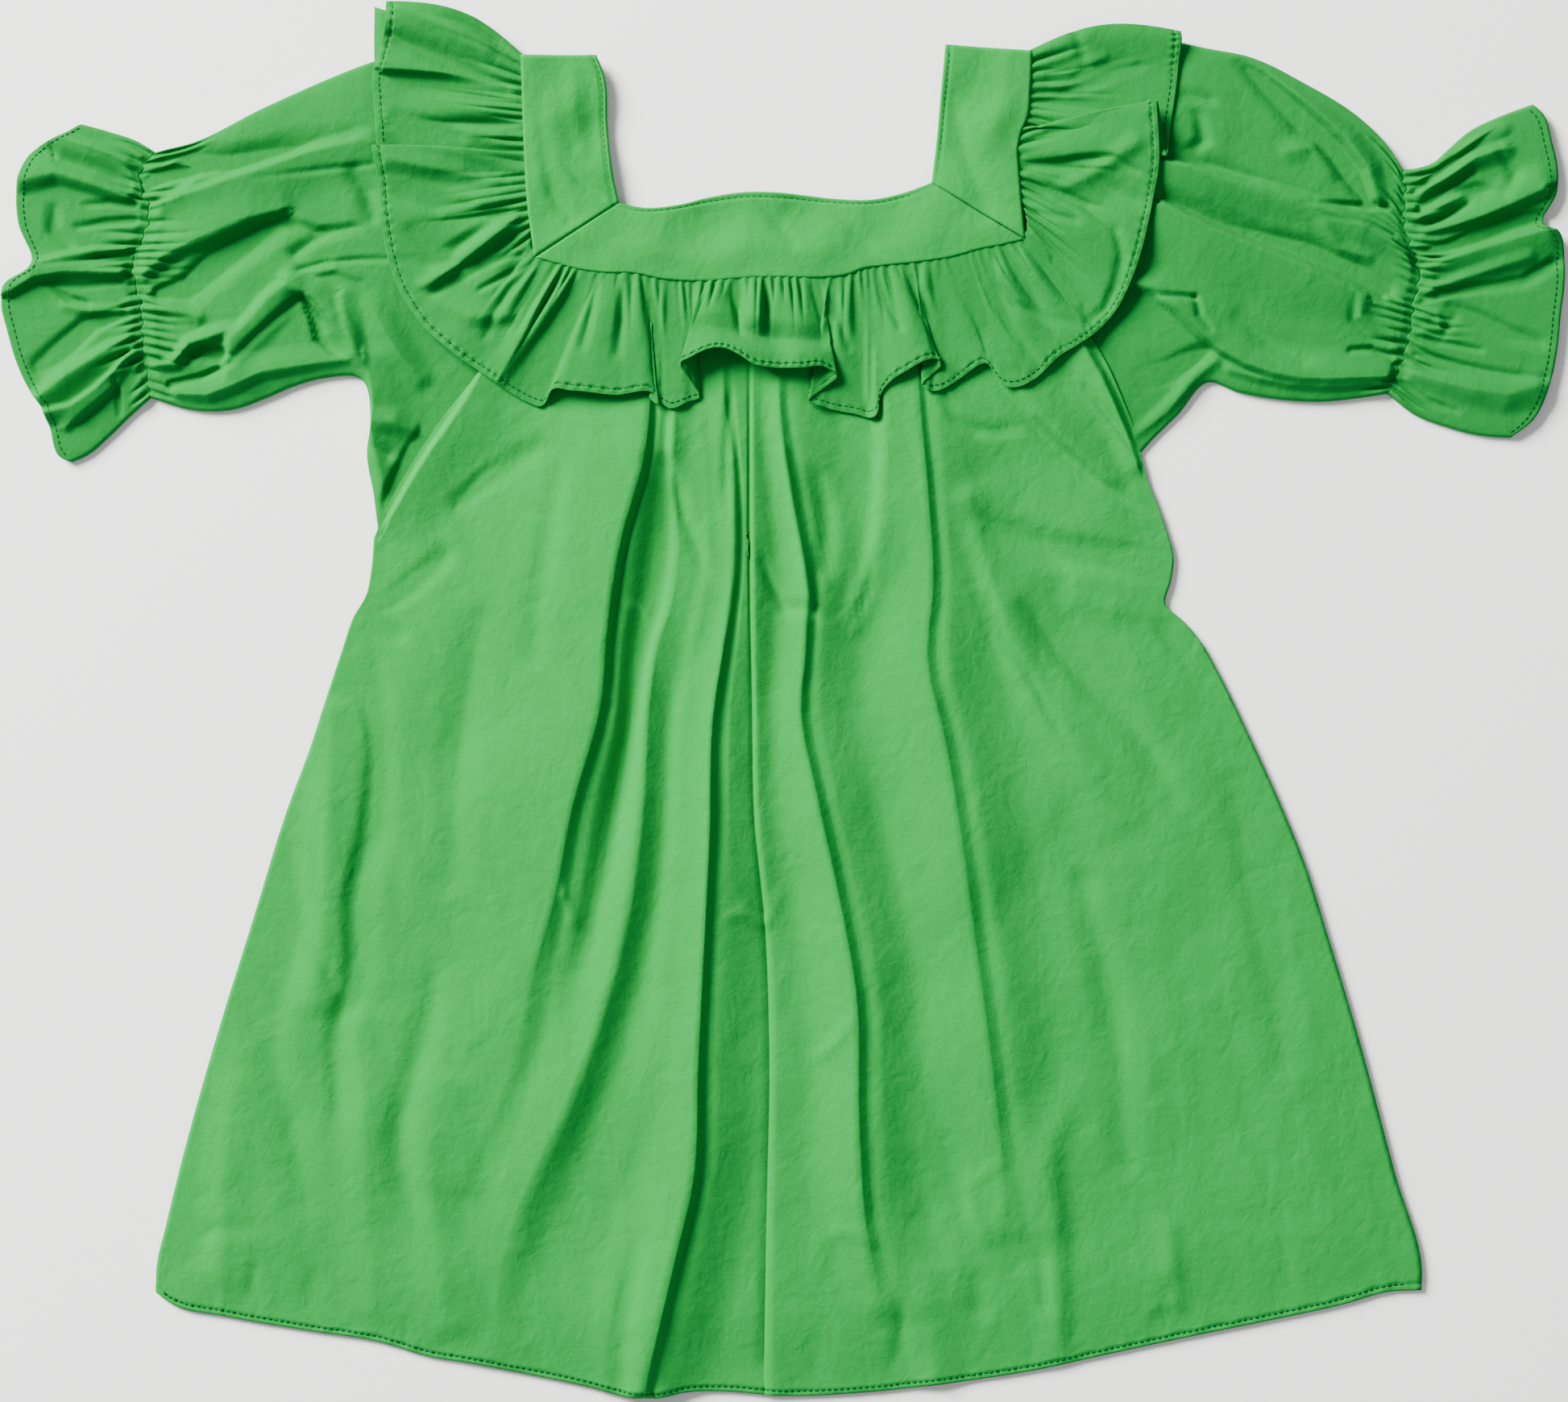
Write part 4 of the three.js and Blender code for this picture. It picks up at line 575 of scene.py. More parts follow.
def surface(name, grid, uv, closed=False):
    """A mesh of quads over grid[i, j], which look up; with closed, the last column joins the first."""
    rows, columns = grid.shape[:2]
    uv = uv.reshape(rows, columns, 2)
    if turned_over(grid):
        grid, uv = grid[::-1], uv[::-1]
    index = np.arange(rows * columns).reshape(rows, columns)
    if closed:
        index = np.hstack([index, index[:, :1]])
    a, b, c, d = index[:-1, :-1], index[1:, :-1], index[1:, 1:], index[:-1, 1:]
    faces = np.stack([a, b, c, d], axis=-1).reshape(-1, 4)
    mesh = bpy.data.meshes.new(name)
    mesh.vertices.add(rows * columns)
    mesh.vertices.foreach_set("co", (grid.reshape(-1, 3) * MM).ravel())
    mesh.loops.add(faces.size)
    mesh.loops.foreach_set("vertex_index", faces.ravel().astype(np.int32))
    mesh.polygons.add(len(faces))
    mesh.polygons.foreach_set("loop_start", np.arange(0, faces.size, 4, dtype=np.int32))
    mesh.polygons.foreach_set("use_smooth", np.ones(len(faces), dtype=bool))
    layer = mesh.uv_layers.new(name="Cut")
    if closed:
        uv = np.hstack([uv, 2 * uv[:, -1:] - uv[:, -2:-1]])
    corners = np.stack([uv[:-1, :-1], uv[1:, :-1], uv[1:, 1:], uv[:-1, 1:]], axis=2)
    layer.data.foreach_set("uv", (corners.reshape(-1, 2) * MM).ravel())
    mesh.update(calc_edges=True)
    mesh.validate()
    return placed(name, mesh)


def thick(piece, wall):
    """Cloth of the given thickness in millimetres, grown downwards from the upper side."""
    shell = piece.modifiers.new("cloth", "SOLIDIFY")
    shell.thickness = wall * MM
    shell.offset = -1.0
    shell.use_even_offset = False
    shell.use_rim = True
    return piece


def closed_ends(piece):
    """Points that lie on each other become one, which closes a tube whose end rings are pressed flat."""
    shape = bmesh.new()
    shape.from_mesh(piece.data)
    bmesh.ops.remove_doubles(shape, verts=shape.verts, dist=TOUCHING)
    shape.to_mesh(piece.data)
    shape.free()


def area_of(grid, closed=False):
    """The sum of the two triangles of every quad, in square metres."""
    if closed:
        grid = np.concatenate([grid, grid[:, :1]], axis=1)
    p = grid * MM
    one = np.cross(p[1:, :-1] - p[:-1, :-1], p[1:, 1:] - p[:-1, :-1])
    two = np.cross(p[1:, 1:] - p[:-1, :-1], p[:-1, 1:] - p[:-1, :-1])
    return float((np.linalg.norm(one, axis=-1) + np.linalg.norm(two, axis=-1)).sum() / 2)


def add_height(plan, height):
    """The plan's (x, y) with the height as z."""
    return np.concatenate([plan, height[..., None]], axis=-1)


PIECES = []


def sewn(piece, solid):
    """A finished piece: it rides with the blouse and stands for its solid."""
    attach(piece, "root")
    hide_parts(solid)
    PIECES.append(piece)
    print(piece.name, len(piece.data.polygons), "faces")


# %% [markdown]
# ## Camera, light and table
# The photo is taken from straight above with a long lens, so the camera hangs 2.2 m over the
# table and its lens takes in 778 mm across. A large soft lamp stands to the upper left, which
# leaves the right-hand side of each fold in shade. A weak lamp opposite and the pale room fill
# the shadows.

# %% Camera
IMAGE_WIDTH_PX = 1946
MM_PER_PX = 0.4
CAMERA_HEIGHT = 2.2  # m
MEAN_CLOTH = 0.004  # m above the table, where the picture's scale holds
SENSOR_WIDTH = 36.0  # mm
camera_data = bpy.data.cameras.new("camera")
camera_data.sensor_width = SENSOR_WIDTH
camera_data.lens = SENSOR_WIDTH * (CAMERA_HEIGHT - MEAN_CLOTH) / (IMAGE_WIDTH_PX * MM_PER_PX * MM)
camera = placed("camera", camera_data)
camera.location = (0.0006, -0.0002, CAMERA_HEIGHT)
bpy.context.scene.camera = camera
print("lens", round(camera_data.lens, 1), "mm")


# %% Lamps, room and table
def lamp(name, place, aim, size, watts, colour):
    """A square area lamp at place that faces aim."""
    data = bpy.data.lights.new(name, "AREA")
    data.shape = "SQUARE"
    data.size = size
    data.energy = watts
    data.color = colour
    light = placed(name, data)
    light.location = place
    way = np.array(aim) - np.array(place)
    yaw = np.arctan2(way[1], way[0])
    tilt = np.arccos(-way[2] / np.linalg.norm(way))
    light.rotation_euler = (0, -tilt, yaw)


KEY_WATTS, FILL_WATTS, ROOM = 1400.0, 8.0, 0.40
MIDDLE = (0, 0, 0)
lamp("key", (-3.5, 2.95, 2.5), MIDDLE, 2.4, KEY_WATTS, (1.0, 0.99, 0.97))
lamp("fill", (2.0, -1.4, 2.6), MIDDLE, 1.8, FILL_WATTS, (0.97, 0.99, 1.0))
world = bpy.data.worlds.new("pale room")
world.use_nodes = True
world.node_tree.nodes["Background"].inputs["Color"].default_value = (1, 1, 1, 1)
world.node_tree.nodes["Background"].inputs["Strength"].default_value = ROOM
bpy.context.scene.world = world

HALF_TABLE, TABLE_TOP = 12.0, -0.0004  # m
CORNERS = ((-1, -1), (1, -1), (1, 1), (-1, 1))
table_mesh = bpy.data.meshes.new("table")
table_points = [(HALF_TABLE * i, HALF_TABLE * j, TABLE_TOP) for i, j in CORNERS]
table_mesh.from_pydata(table_points, [], [(0, 1, 2, 3)])
table = placed("table", table_mesh)

# %% [markdown]
# ## The front and the back of the body
# The front is one A-line panel. Guide lines run from the yoke to the hem along its sharp folds,
# and the columns of the grid crowd between the two lines of each fold, so a drop of 8 mm over
# 5 to 10 mm is smooth although the panel is 630 mm wide.

# %% The plan of the panels
CURVE_STEPS = 801  # places looked at along a curve
SIDE_PACE = 1.6  # a power of the share of a side's length
YOKE_SHARES = [0.3, 0.77]  # of the front's upper edge, between the two raglan seams


def share_near(curve, point):
    """The share of a curve's length at which it comes nearest to a point."""
    shares = np.linspace(0, 1, CURVE_STEPS)
    away = np.linalg.norm(curve(shares) - np.array(point), axis=1)
    return float(shares[np.argmin(away)])


top_of_front = joined([curve_through(c) for c in (RAGLAN_LEFT[::-1], BAND_SEAM, RAGLAN_RIGHT)], YOKE_SHARES)
hem_of_front = curve_through(HEM)
GUIDES = [  # (points from the yoke to the hem, columns of the grid up to the next guide)
    (SIDE_LEFT, 38),
    ([(-123.2, 219.6), (-140, 130), (-146, 60), (-160, -50), (-205, -200), (-235, -313.2)], 20),
    ([(-74, 211.6), (-66, 150), (-68.5, 122), (-80, 80), (-87, 35), (-90, 0), (-105, -55), (-113, -95),
      (-123, -130), (-137, -180), (-160, -240), (-176, -325.9)], 7),
    ([(-69, 211), (-61.5, 150), (-64, 122), (-75, 80), (-82.5, 35), (-85, 0), (-99, -55), (-105, -95),
      (-112, -130), (-121, -180), (-146, -240), (-160, -328.5)], 9),
    ([(-57, 208.8), (-54, 145), (-55, 118), (-53, 70), (-56, 48), (-63, 28), (-67, 0), (-70, -52),
      (-76, -100), (-93, -165), (-110, -208), (-126, -242), (-140, -285), (-141, -332)], 18),
    ([(-32, 208), (-29, 150), (-23, 105), (-23, 60), (-29, 30), (-34.5, -5), (-36.5, -70), (-38, -100),
      (-42, -180), (-44.5, -238), (-54, -279), (-66, -330), (-69, -346.6)], 7),
    ([(-25, 208.8), (-24, 150), (-18.5, 105), (-18.5, 60), (-24.5, 30), (-30, -5), (-32, -70),
      (-33.5, -100), (-37.5, -180), (-40, -238), (-49.5, -279), (-60, -330), (-63, -346.5)], 8),
    ([(-17, 209.3), (-17.2, 150), (-17.2, 60), (-16.2, 0), (-15.2, -60), (-10, -108), (-7.5, -170),
      (-9, -260), (-10.4, -344.8)], 5),
    ([(-14, 209.4), (-15, 150), (-15, 60), (-14, 0), (-13, -60), (-8, -108), (-5.5, -170), (-7, -260),
      (-8.4, -345)], 14),
    ([(2, 209.7), (-2, 150), (4, 100), (11, 60), (11, 25), (8.5, -5), (16, -45), (28, -100), (36, -145),
      (37.5, -210), (41, -262), (48, -300), (52, -342.8)], 6),
    ([(8, 209.7), (4, 150), (12, 100), (19, 60), (17, 25), (14.5, -5), (22, -45), (33.5, -100), (41, -145),
      (42.5, -210), (47, -262), (58, -300), (64, -341.4)], 22),
    ([(66, 217.2), (67, 155), (71, 110), (74, 55), (71, 22), (80, -20), (86, -55), (95, -120), (103, -180),
      (108, -225), (110, -262), (112, -335)], 6),
    ([(72, 218), (71.5, 155), (75.5, 110), (79, 55), (76.5, 22), (86, -20), (92.5, -55), (102, -120),
      (110, -180), (116, -225), (122, -262), (126, -332.6)], 18),
    ([(120.2, 228.5), (124, 130), (118, 60), (135, -50), (165, -200), (180, -320.8)], 46),
    (SIDE_RIGHT, 0),
]


def slow_at_top(curve):
    """The curve read at the share to the power SIDE_PACE: rows meet the shorter sides almost level."""
    return lambda share: curve(np.asarray(share, float) ** SIDE_PACE)


def panel_plan(guides, rows):
    """Between two guide lines the plan is a patch of its own, whose top and hem lie on the panel's."""
    curves = [curve_through(line) for line, _ in guides]
    curves[0], curves[-1] = slow_at_top(curves[0]), slow_at_top(curves[-1])
    tops = [0.0] + [share_near(top_of_front, line[0]) for line, _ in guides[1:-1]] + [1.0]
    hems = [0.0] + [share_near(hem_of_front, line[-1]) for line, _ in guides[1:-1]] + [1.0]
    strips = []
    for k in range(len(guides) - 1):
        patch = patch_between(
            lambda u, k=k: top_of_front(mixed(tops[k], tops[k + 1], u)),
            lambda u, k=k: hem_of_front(mixed(hems[k], hems[k + 1], u)),
            curves[k], curves[k + 1],
        )
        count = guides[k][1]
        v, u = np.meshgrid(rows, np.arange(count) / count, indexing="ij")
        strips.append(patch(u, v))
    strips.append(curves[-1](rows)[:, None])
    return np.concatenate(strips, axis=1)


HEM_GROOVE, HEM_ROLL, HEM_PUCKER = 0.6, 0.5, 0.4  # mm
PUCKER_PITCH, PUCKER_SPREAD = 3.9, 2.5  # mm between puckers, and their width over the groove's


def bell(away, width):
    """exp(-(away / width) squared)."""
    return np.exp(-((away / width) ** 2))


def turned_hem(along, share, stitched, width):
    """A groove at the stitches' share, with a small wave along it, and an edge that rolls down past it."""
    away = share - stitched
    wave = np.cos(2 * np.pi * (along + 1.3 * np.sin(along / 11)) / PUCKER_PITCH)
    past = eased(away / (1 - stitched))
    puckers = HEM_PUCKER * wave * bell(away, PUCKER_SPREAD * width)
    return puckers - HEM_GROOVE * bell(away, width) - HEM_ROLL * past


def two_paces(line, above, below):
    """Shares from 0 to 1 at one pace down to the line and at another below it, given as counts."""
    return np.concatenate([np.linspace(0, line, above)[:-1], np.linspace(line, 1, below)])


# %% The front panel
HEM_LINE, HEM_STITCH = 0.988, 0.9955  # shares of the way to the hem: its turned part, its stitches
STITCH_WIDTH = 0.0011  # such a share too
front_rows = two_paces(HEM_LINE, 186, 11)
front_plan = panel_plan(GUIDES, front_rows)
front_x, front_y = front_plan[..., 0], front_plan[..., 1]
hem_share = np.repeat(front_rows[:, None], front_plan.shape[1], axis=1)
front_z = front_height(front_x, front_y) + turned_hem(front_x, hem_share, HEM_STITCH, STITCH_WIDTH)
front_grid = add_height(front_plan, front_z)
front = thick(surface("front_panel_cloth", front_grid, front_plan), PANEL_CLOTH)
sewn(front, "front_panel")

# %% The back panel, which only its edges show
BACK_INSET = 2.5  # mm: the back's hem lies just inside the front's
BODY_MIDDLE = (0, -100)
RIM_COLUMNS, RIM_ROWS = 6, 3  # the inset dies out over so many columns and rows of the grid
BACK_WAVE, BACK_HEIGHT = 70.0, 0.12  # mm: the back's unevenness
BACK_GUIDES = [
    (SIDE_LEFT, 24), ([(-123.2, 219.6), (-235, -313.2)], 34), ([(120.2, 228.5), (180, -320.8)], 24),
    (SIDE_RIGHT, 0),
]
back_plan = panel_plan(BACK_GUIDES, np.linspace(0, 1, 70))
inward = np.array(BODY_MIDDLE) - back_plan
inward /= np.linalg.norm(inward, axis=-1, keepdims=True)
columns, rows = np.arange(back_plan.shape[1]), np.arange(back_plan.shape[0])
side_rim = np.clip(1 - np.minimum(columns, columns[::-1]) / RIM_COLUMNS, 0, 1)
rim = np.maximum(side_rim[None], np.clip(1 - rows[::-1] / RIM_ROWS, 0, 1)[:, None])
back_plan = back_plan + inward * (BACK_INSET * rim)[..., None]
bx, by = back_plan[..., 0], back_plan[..., 1]
back_grid = add_height(back_plan, lift(bx, by) + CLOTH + BACK_HEIGHT * ripple(bx, by, BACK_WAVE, 4))
back = thick(surface("back_panel_cloth", back_grid, back_plan), PANEL_CLOTH)
sewn(back, "back_panel")

# %% [markdown]
# ## Sleeves and frills
# A sleeve is a tube that lies pressed flat: its upper layer runs over from the top fold to the
# lower fold, and the lower layer runs back along the table. Elastic gathers its end, and the same
# tube goes on past the elastic as a frill with a free hem.

# %% Folds of the sleeves and frills, in the same columns
LEFT_SLEEVE_FOLDS = {
    "upper_slope": [
        (-318, 254, -2.5, 10, 4), (-300, 262, -3.5, 16, 5), (-278, 264, -4, 14, 5),
        (-258, 269, -3.5, 12, 4), (-240, 274, -2, 12, 4), (-215, 279, -1, 10, 4),
    ],
    "upper_ridge": [
        (-316, 244, 2, 4, 16), (-300, 249, 4, 5, 22), (-280, 256, 5, 5, 24), (-250, 266, 4.5, 5, 24),
        (-228, 274, 3, 6, 22), (-205, 278, 1.5, 8, 20),
    ],
    "cuff_pocket": [(-316, 262, 1, 4, 4), (-298, 267, 2.5, 4, 5), (-288, 263, 1.5, 4, 4)],
    "inner_ridge": [(-302, 250, 1, 4, 4), (-290, 258, 2, 5, 5), (-280, 262, 1, 4, 4)],
    "middle_ridge": [
        (-318, 211, 2.5, 12, 5), (-305, 222, 4, 16, 6), (-285, 231, 5, 20, 7), (-265, 240, 4, 18, 7),
        (-250, 243, 2, 16, 6),
    ],
    "middle_trough": [
        (-310, 203, -2.5, 4, 10), (-298, 205, -3.5, 8, 14), (-280, 220, -4.5, 10, 16),
        (-262, 233, -4, 7, 16), (-248, 240, -2, 5, 12),
    ],
    "crescent": [(-246, 238, -1.5, 4, 6), (-228, 232, -2, 5, 8), (-212, 235, -1, 4, 6)],
    "crescent_tail": [(-228, 232, -1, 5, 5), (-242, 222, -1.6, 6, 6)],
    "ruffle_shade": [(-213, 262, -1.5, 8, 8), (-206, 252, -2.5, 9, 9), (-203, 240, -1.5, 8, 8)],
    "thin_line": [(-262, 259, -0.5, 3, 3), (-230, 263, -0.9, 3, 3), (-203, 266, -0.6, 3, 3)],
    "straight_line": [(-245, 212, -0.6, 3, 3), (-228, 217, -1.2, 3, 3), (-195, 219, -0.6, 3, 3)],
    "cuff_roll": [(-319, 197, 1, 4, 4), (-306, 196, 2.2, 5, 6), (-290, 190, 1.6, 6, 6)],
    "low_pocket_edge": [
        (-312, 166, 1, 4, 5), (-302, 168, 3.5, 5, 6), (-292, 179, 4.5, 6, 5), (-280, 181, 4, 7, 5),
        (-274, 184, 2, 6, 5),
    ],
    "low_pocket": [(-298, 170, -1.5, 3, 6), (-289, 175, -3.5, 3, 8), (-278, 173, -3.5, 4, 8)],
    "long_ridge": [
        (-276, 166, 3.5, 4, 16), (-274, 178, 5, 5, 16), (-262, 190, 6, 6, 16), (-250, 204, 6, 6, 14),
        (-245, 207, 5.5, 6, 10),
    ],
    "long_valley": [
        (-276, 166, -1, 4, 4), (-262, 181, -1.8, 3, 5), (-250, 192, -1.8, 3, 5), (-239, 201, -1, 3, 4),
    ],
    "elbow_ridge": [
        (-245, 207, 5.5, 10, 3.5), (-236, 202, 5.5, 12, 3.5), (-226, 191, 5, 12, 3.5),
        (-216, 178, 3.5, 10, 4), (-211, 168, 2, 8, 4),
    ],
    "elbow_trough": [
        (-238, 200, -1.5, 6, 3), (-233, 190, -3.5, 9, 3), (-231, 180, -3, 9, 3),
        (-222, 172, -1.5, 8, 3),
    ],
    "side_fold": [(-219, 200, 2, 10, 3), (-216, 185, 3, 10, 3), (-212, 172, 2.5, 8, 3)],
    "flat_facet": [(-232, 212, 1, 8, 3), (-222, 214, 1.6, 8, 3), (-212, 210, 0.8, 6, 3)],
    "bottom_crease": [(-304, 157, -2, 3, 4), (-288, 161, -1.8, 3, 4), (-274, 167, -1, 3, 4)],
    "bottom_roll": [
        (-300, 152, 2, 8, 6), (-283, 152, 3, 10, 6), (-262, 162, 3, 12, 5), (-240, 166, 2.2, 12, 5),
        (-216, 169, 1.2, 10, 5),
    ],
    "underarm_ridge": [(-204, 196, 1, 12, 10), (-193, 176, 2.6, 12, 10), (-180, 160, 1.6, 10, 9)],
    "underarm_roll": [(-208, 139, 2, 9, 8), (-192, 138, 2.6, 9, 8), (-180, 132, 1, 7, 7)],
    "underarm_trough": [(-207, 128, -1.6, 7, 6), (-196, 122, -1.6, 7, 6)],
    "side_slope": [
        (-208, 168, 2, 28, 6), (-206, 140, 3.5, 28, 6), (-204, 112, 3.5, 22, 5), (-203, 94, 1.5, 14, 4),
    ],
    "raglan_shade": [
        (-150, 170, -1.6, 9, 6), (-170, 144, -2.6, 10, 6), (-187, 118, -2.6, 9, 6),
        (-198, 98, -1.6, 7, 5),
    ],
}
RIGHT_SLEEVE_FOLDS = {
    "cap_line": [
        (186, 276, -2, 14, 5), (200, 268, -3, 12, 4), (222, 260, -2.4, 10, 4), (245, 252, -1.2, 8, 4),
        (262, 249, -0.8, 5, 4),
    ],
    "upper_ridge": [
        (186, 267, 3.5, 4, 22), (205, 264, 4.5, 4, 22), (230, 256, 4.5, 5, 18), (258, 248, 4, 6, 16),
        (282, 238, 3.5, 6, 14), (302, 228, 3, 5, 10), (312, 218, 1.5, 4, 6),
    ],
    "middle_trough": [
        (188, 250, -1.6, 8, 3), (214, 238, -2, 10, 4), (240, 229, -3.5, 9, 5), (262, 223, -4, 10, 8),
        (285, 212, -4, 12, 7), (298, 203, -3, 10, 5),
    ],
    "middle_ridge": [
        (188, 246, 2.5, 4, 26), (214, 233, 3.5, 4, 30), (240, 222, 4, 5, 32), (266, 211, 3.5, 5, 26),
        (288, 200, 2, 5, 16),
    ],
    "peak": [(268, 236, 1.2, 6, 6), (274, 226, 1.8, 6, 7), (290, 220, 1, 6, 6)],
    "cap_hollow": [
        (228, 318, -1.5, 6, 8), (244, 304, -3.5, 6, 12), (262, 286, -4.5, 7, 14),
        (278, 270, -4.5, 8, 14), (288, 254, -4, 8, 9), (291, 247, -2, 6, 6),
    ],
    "cap_ridge": [
        (234, 318, 1, 5, 5), (252, 303, 2.5, 6, 5), (272, 286, 3, 8, 5), (288, 268, 3, 9, 6),
        (294, 250, 2, 8, 4),
    ],
    "cap_peak": [(250, 272, 1, 8, 8), (260, 276, 1.8, 10, 8), (272, 262, 1, 10, 8)],
    "cuff_line": [(258, 247, -0.8, 3, 3), (280, 246, -1.8, 3, 3), (300, 245, -1.4, 3, 3)],
    "cuff_line_low": [(270, 240, -0.6, 3, 3), (290, 237, -1.2, 3, 3), (303, 231, -1.2, 3, 3)],
    "cuff_loop": [
        (286, 199, 0.5, 5, 5), (285, 193, 1, 5, 5), (292, 186, 0.8, 5, 5), (302, 181, 0.5, 4, 4),
    ],
    "cuff_loop_shade": [
        (284, 200, -0.5, 4, 4), (283, 190, -1, 4, 5), (290, 182, -0.8, 4, 5), (300, 176, -0.4, 4, 4),
    ],
    "cuff_loop_low": [(282, 174, -1, 3, 4), (292, 175, -1.4, 3, 4), (302, 170, -1, 3, 3)],
    "lower_edge": [
        (172, 207, 3, 12, 3), (188, 200, 4.5, 16, 3), (205, 184, 5.5, 18, 3), (220, 172, 5.5, 20, 3),
        (238, 164, 5, 18, 3.5), (258, 160, 4.5, 18, 4), (280, 160, 4, 16, 4), (299, 161, 2.5, 12, 4),
    ],
    "corner_fold": [(173, 205, -1.4, 3, 3), (188, 201, -2.6, 3, 3), (204, 200, -1.6, 3, 3)],
    "corner_side": [(205, 200, -1, 3, 3), (206, 192, -1.8, 4, 4), (212, 184, -0.8, 3, 3)],
    "belly_shade": [(226, 190, -0.8, 9, 9), (240, 178, -1.6, 10, 9), (258, 168, -1.4, 9, 6)],
    "lower_layer": [
        (222, 164, 1.2, 6, 4), (245, 158, 1.8, 5, 4), (275, 156, 1.8, 4, 4), (296, 158, 1, 4, 3),
    ],
    "underarm_line": [
        (180, 160, -1, 8, 8), (194, 164, -2, 9, 8), (206, 172, -2, 8, 8), (214, 176, -1, 6, 6),
    ],
    "underarm_ridge": [
        (176, 132, 0.8, 6, 6), (190, 142, 2, 7, 7), (204, 158, 2, 7, 7), (214, 168, 1, 6, 6),
    ],
    "cap_patch": [(206, 291, -1, 6, 6), (208, 276, -2, 6, 7), (200, 270, -1, 5, 5)],
    "cap_patch_top": [(200, 301, -0.6, 6, 6), (212, 298, -1, 6, 6)],
}
LEFT_FRILL_FOLDS = {
    "top_shade": [
        (-374, 276, -1.5, 6, 6), (-358, 268, -3, 8, 8), (-340, 262, -2.5, 8, 7),
        (-325, 256, -1.4, 5, 5),
    ],
    "top_lobe": [(-326, 268, 1.5, 8, 5), (-345, 275, 3, 10, 5), (-362, 280, 2, 8, 6)],
    "middle_lobe": [
        (-326, 250, 2, 5, 8), (-345, 257, 4.5, 6, 18), (-366, 262, 4.5, 7, 22), (-378, 258, 3, 8, 20),
    ],
    "middle_line_1": [(-322, 246, -1.8, 3, 4), (-334, 247, -1.6, 3, 4), (-346, 246, -0.6, 3, 4)],
    "middle_line_2": [(-322, 238, -2, 3, 4), (-336, 237, -2, 3, 4), (-350, 235, -0.8, 3, 4)],
    "middle_hollow": [(-362, 244, -1, 6, 6), (-362, 234, -1.8, 6, 6), (-354, 226, -1, 5, 5)],
    "lobe_edge": [
        (-326, 224, 1, 4, 3), (-345, 223, 2.5, 8, 3), (-362, 219, 3, 10, 3), (-372, 216, 3, 10, 3),
    ],
    "notch": [
        (-325, 221, -2.6, 3, 3), (-334, 221, -2.6, 3, 2.5), (-345, 219, -1.4, 3, 2.5),
        (-360, 217, -1, 3, 2.5), (-373, 216, -1, 3, 2.5),
    ],
    "overlap": [
        (-328, 212, 3, 4, 8), (-350, 213, 4, 4.5, 10), (-370, 211, 4, 4.5, 14), (-384, 203, 3, 4, 14),
    ],
    "overlap_line": [(-328, 208, -1.6, 3, 3), (-345, 206, -1.6, 3, 3), (-366, 207, -0.8, 3, 3)],
    "small_crease": [(-362, 205, -0.8, 3, 3), (-351, 198, -2.2, 3, 4), (-345, 197, -1.2, 3, 3)],
    "small_lobe": [(-330, 194, 1, 4, 4), (-344, 193, 2, 5, 5), (-356, 196, 1, 5, 5)],
    "lower_shade": [
        (-326, 192, -1.5, 5, 5), (-344, 186, -3.5, 6, 9), (-358, 174, -3.5, 9, 9),
        (-369, 166, -2, 9, 8),
    ],
    "lower_lobe": [
        (-325, 180, 1.5, 4, 5), (-345, 168, 3.5, 10, 6), (-360, 158, 4, 12, 7), (-370, 150, 3.5, 12, 6),
    ],
    "lower_lobe_edge": [
        (-322, 174, 2, 5, 2.5), (-335, 160, 4, 8, 3), (-348, 149, 5, 10, 3), (-358, 144, 5, 10, 3),
        (-366, 143, 4, 8, 3),
    ],
    "under_layer": [(-330, 158, 1, 3, 4), (-345, 145, 1.5, 3, 6), (-356, 136, 1.5, 4, 6)],
    "under_crease": [(-331, 160, -1, 3, 3), (-330, 150, -1.6, 3, 3), (-329, 142, -1, 3, 3)],
}
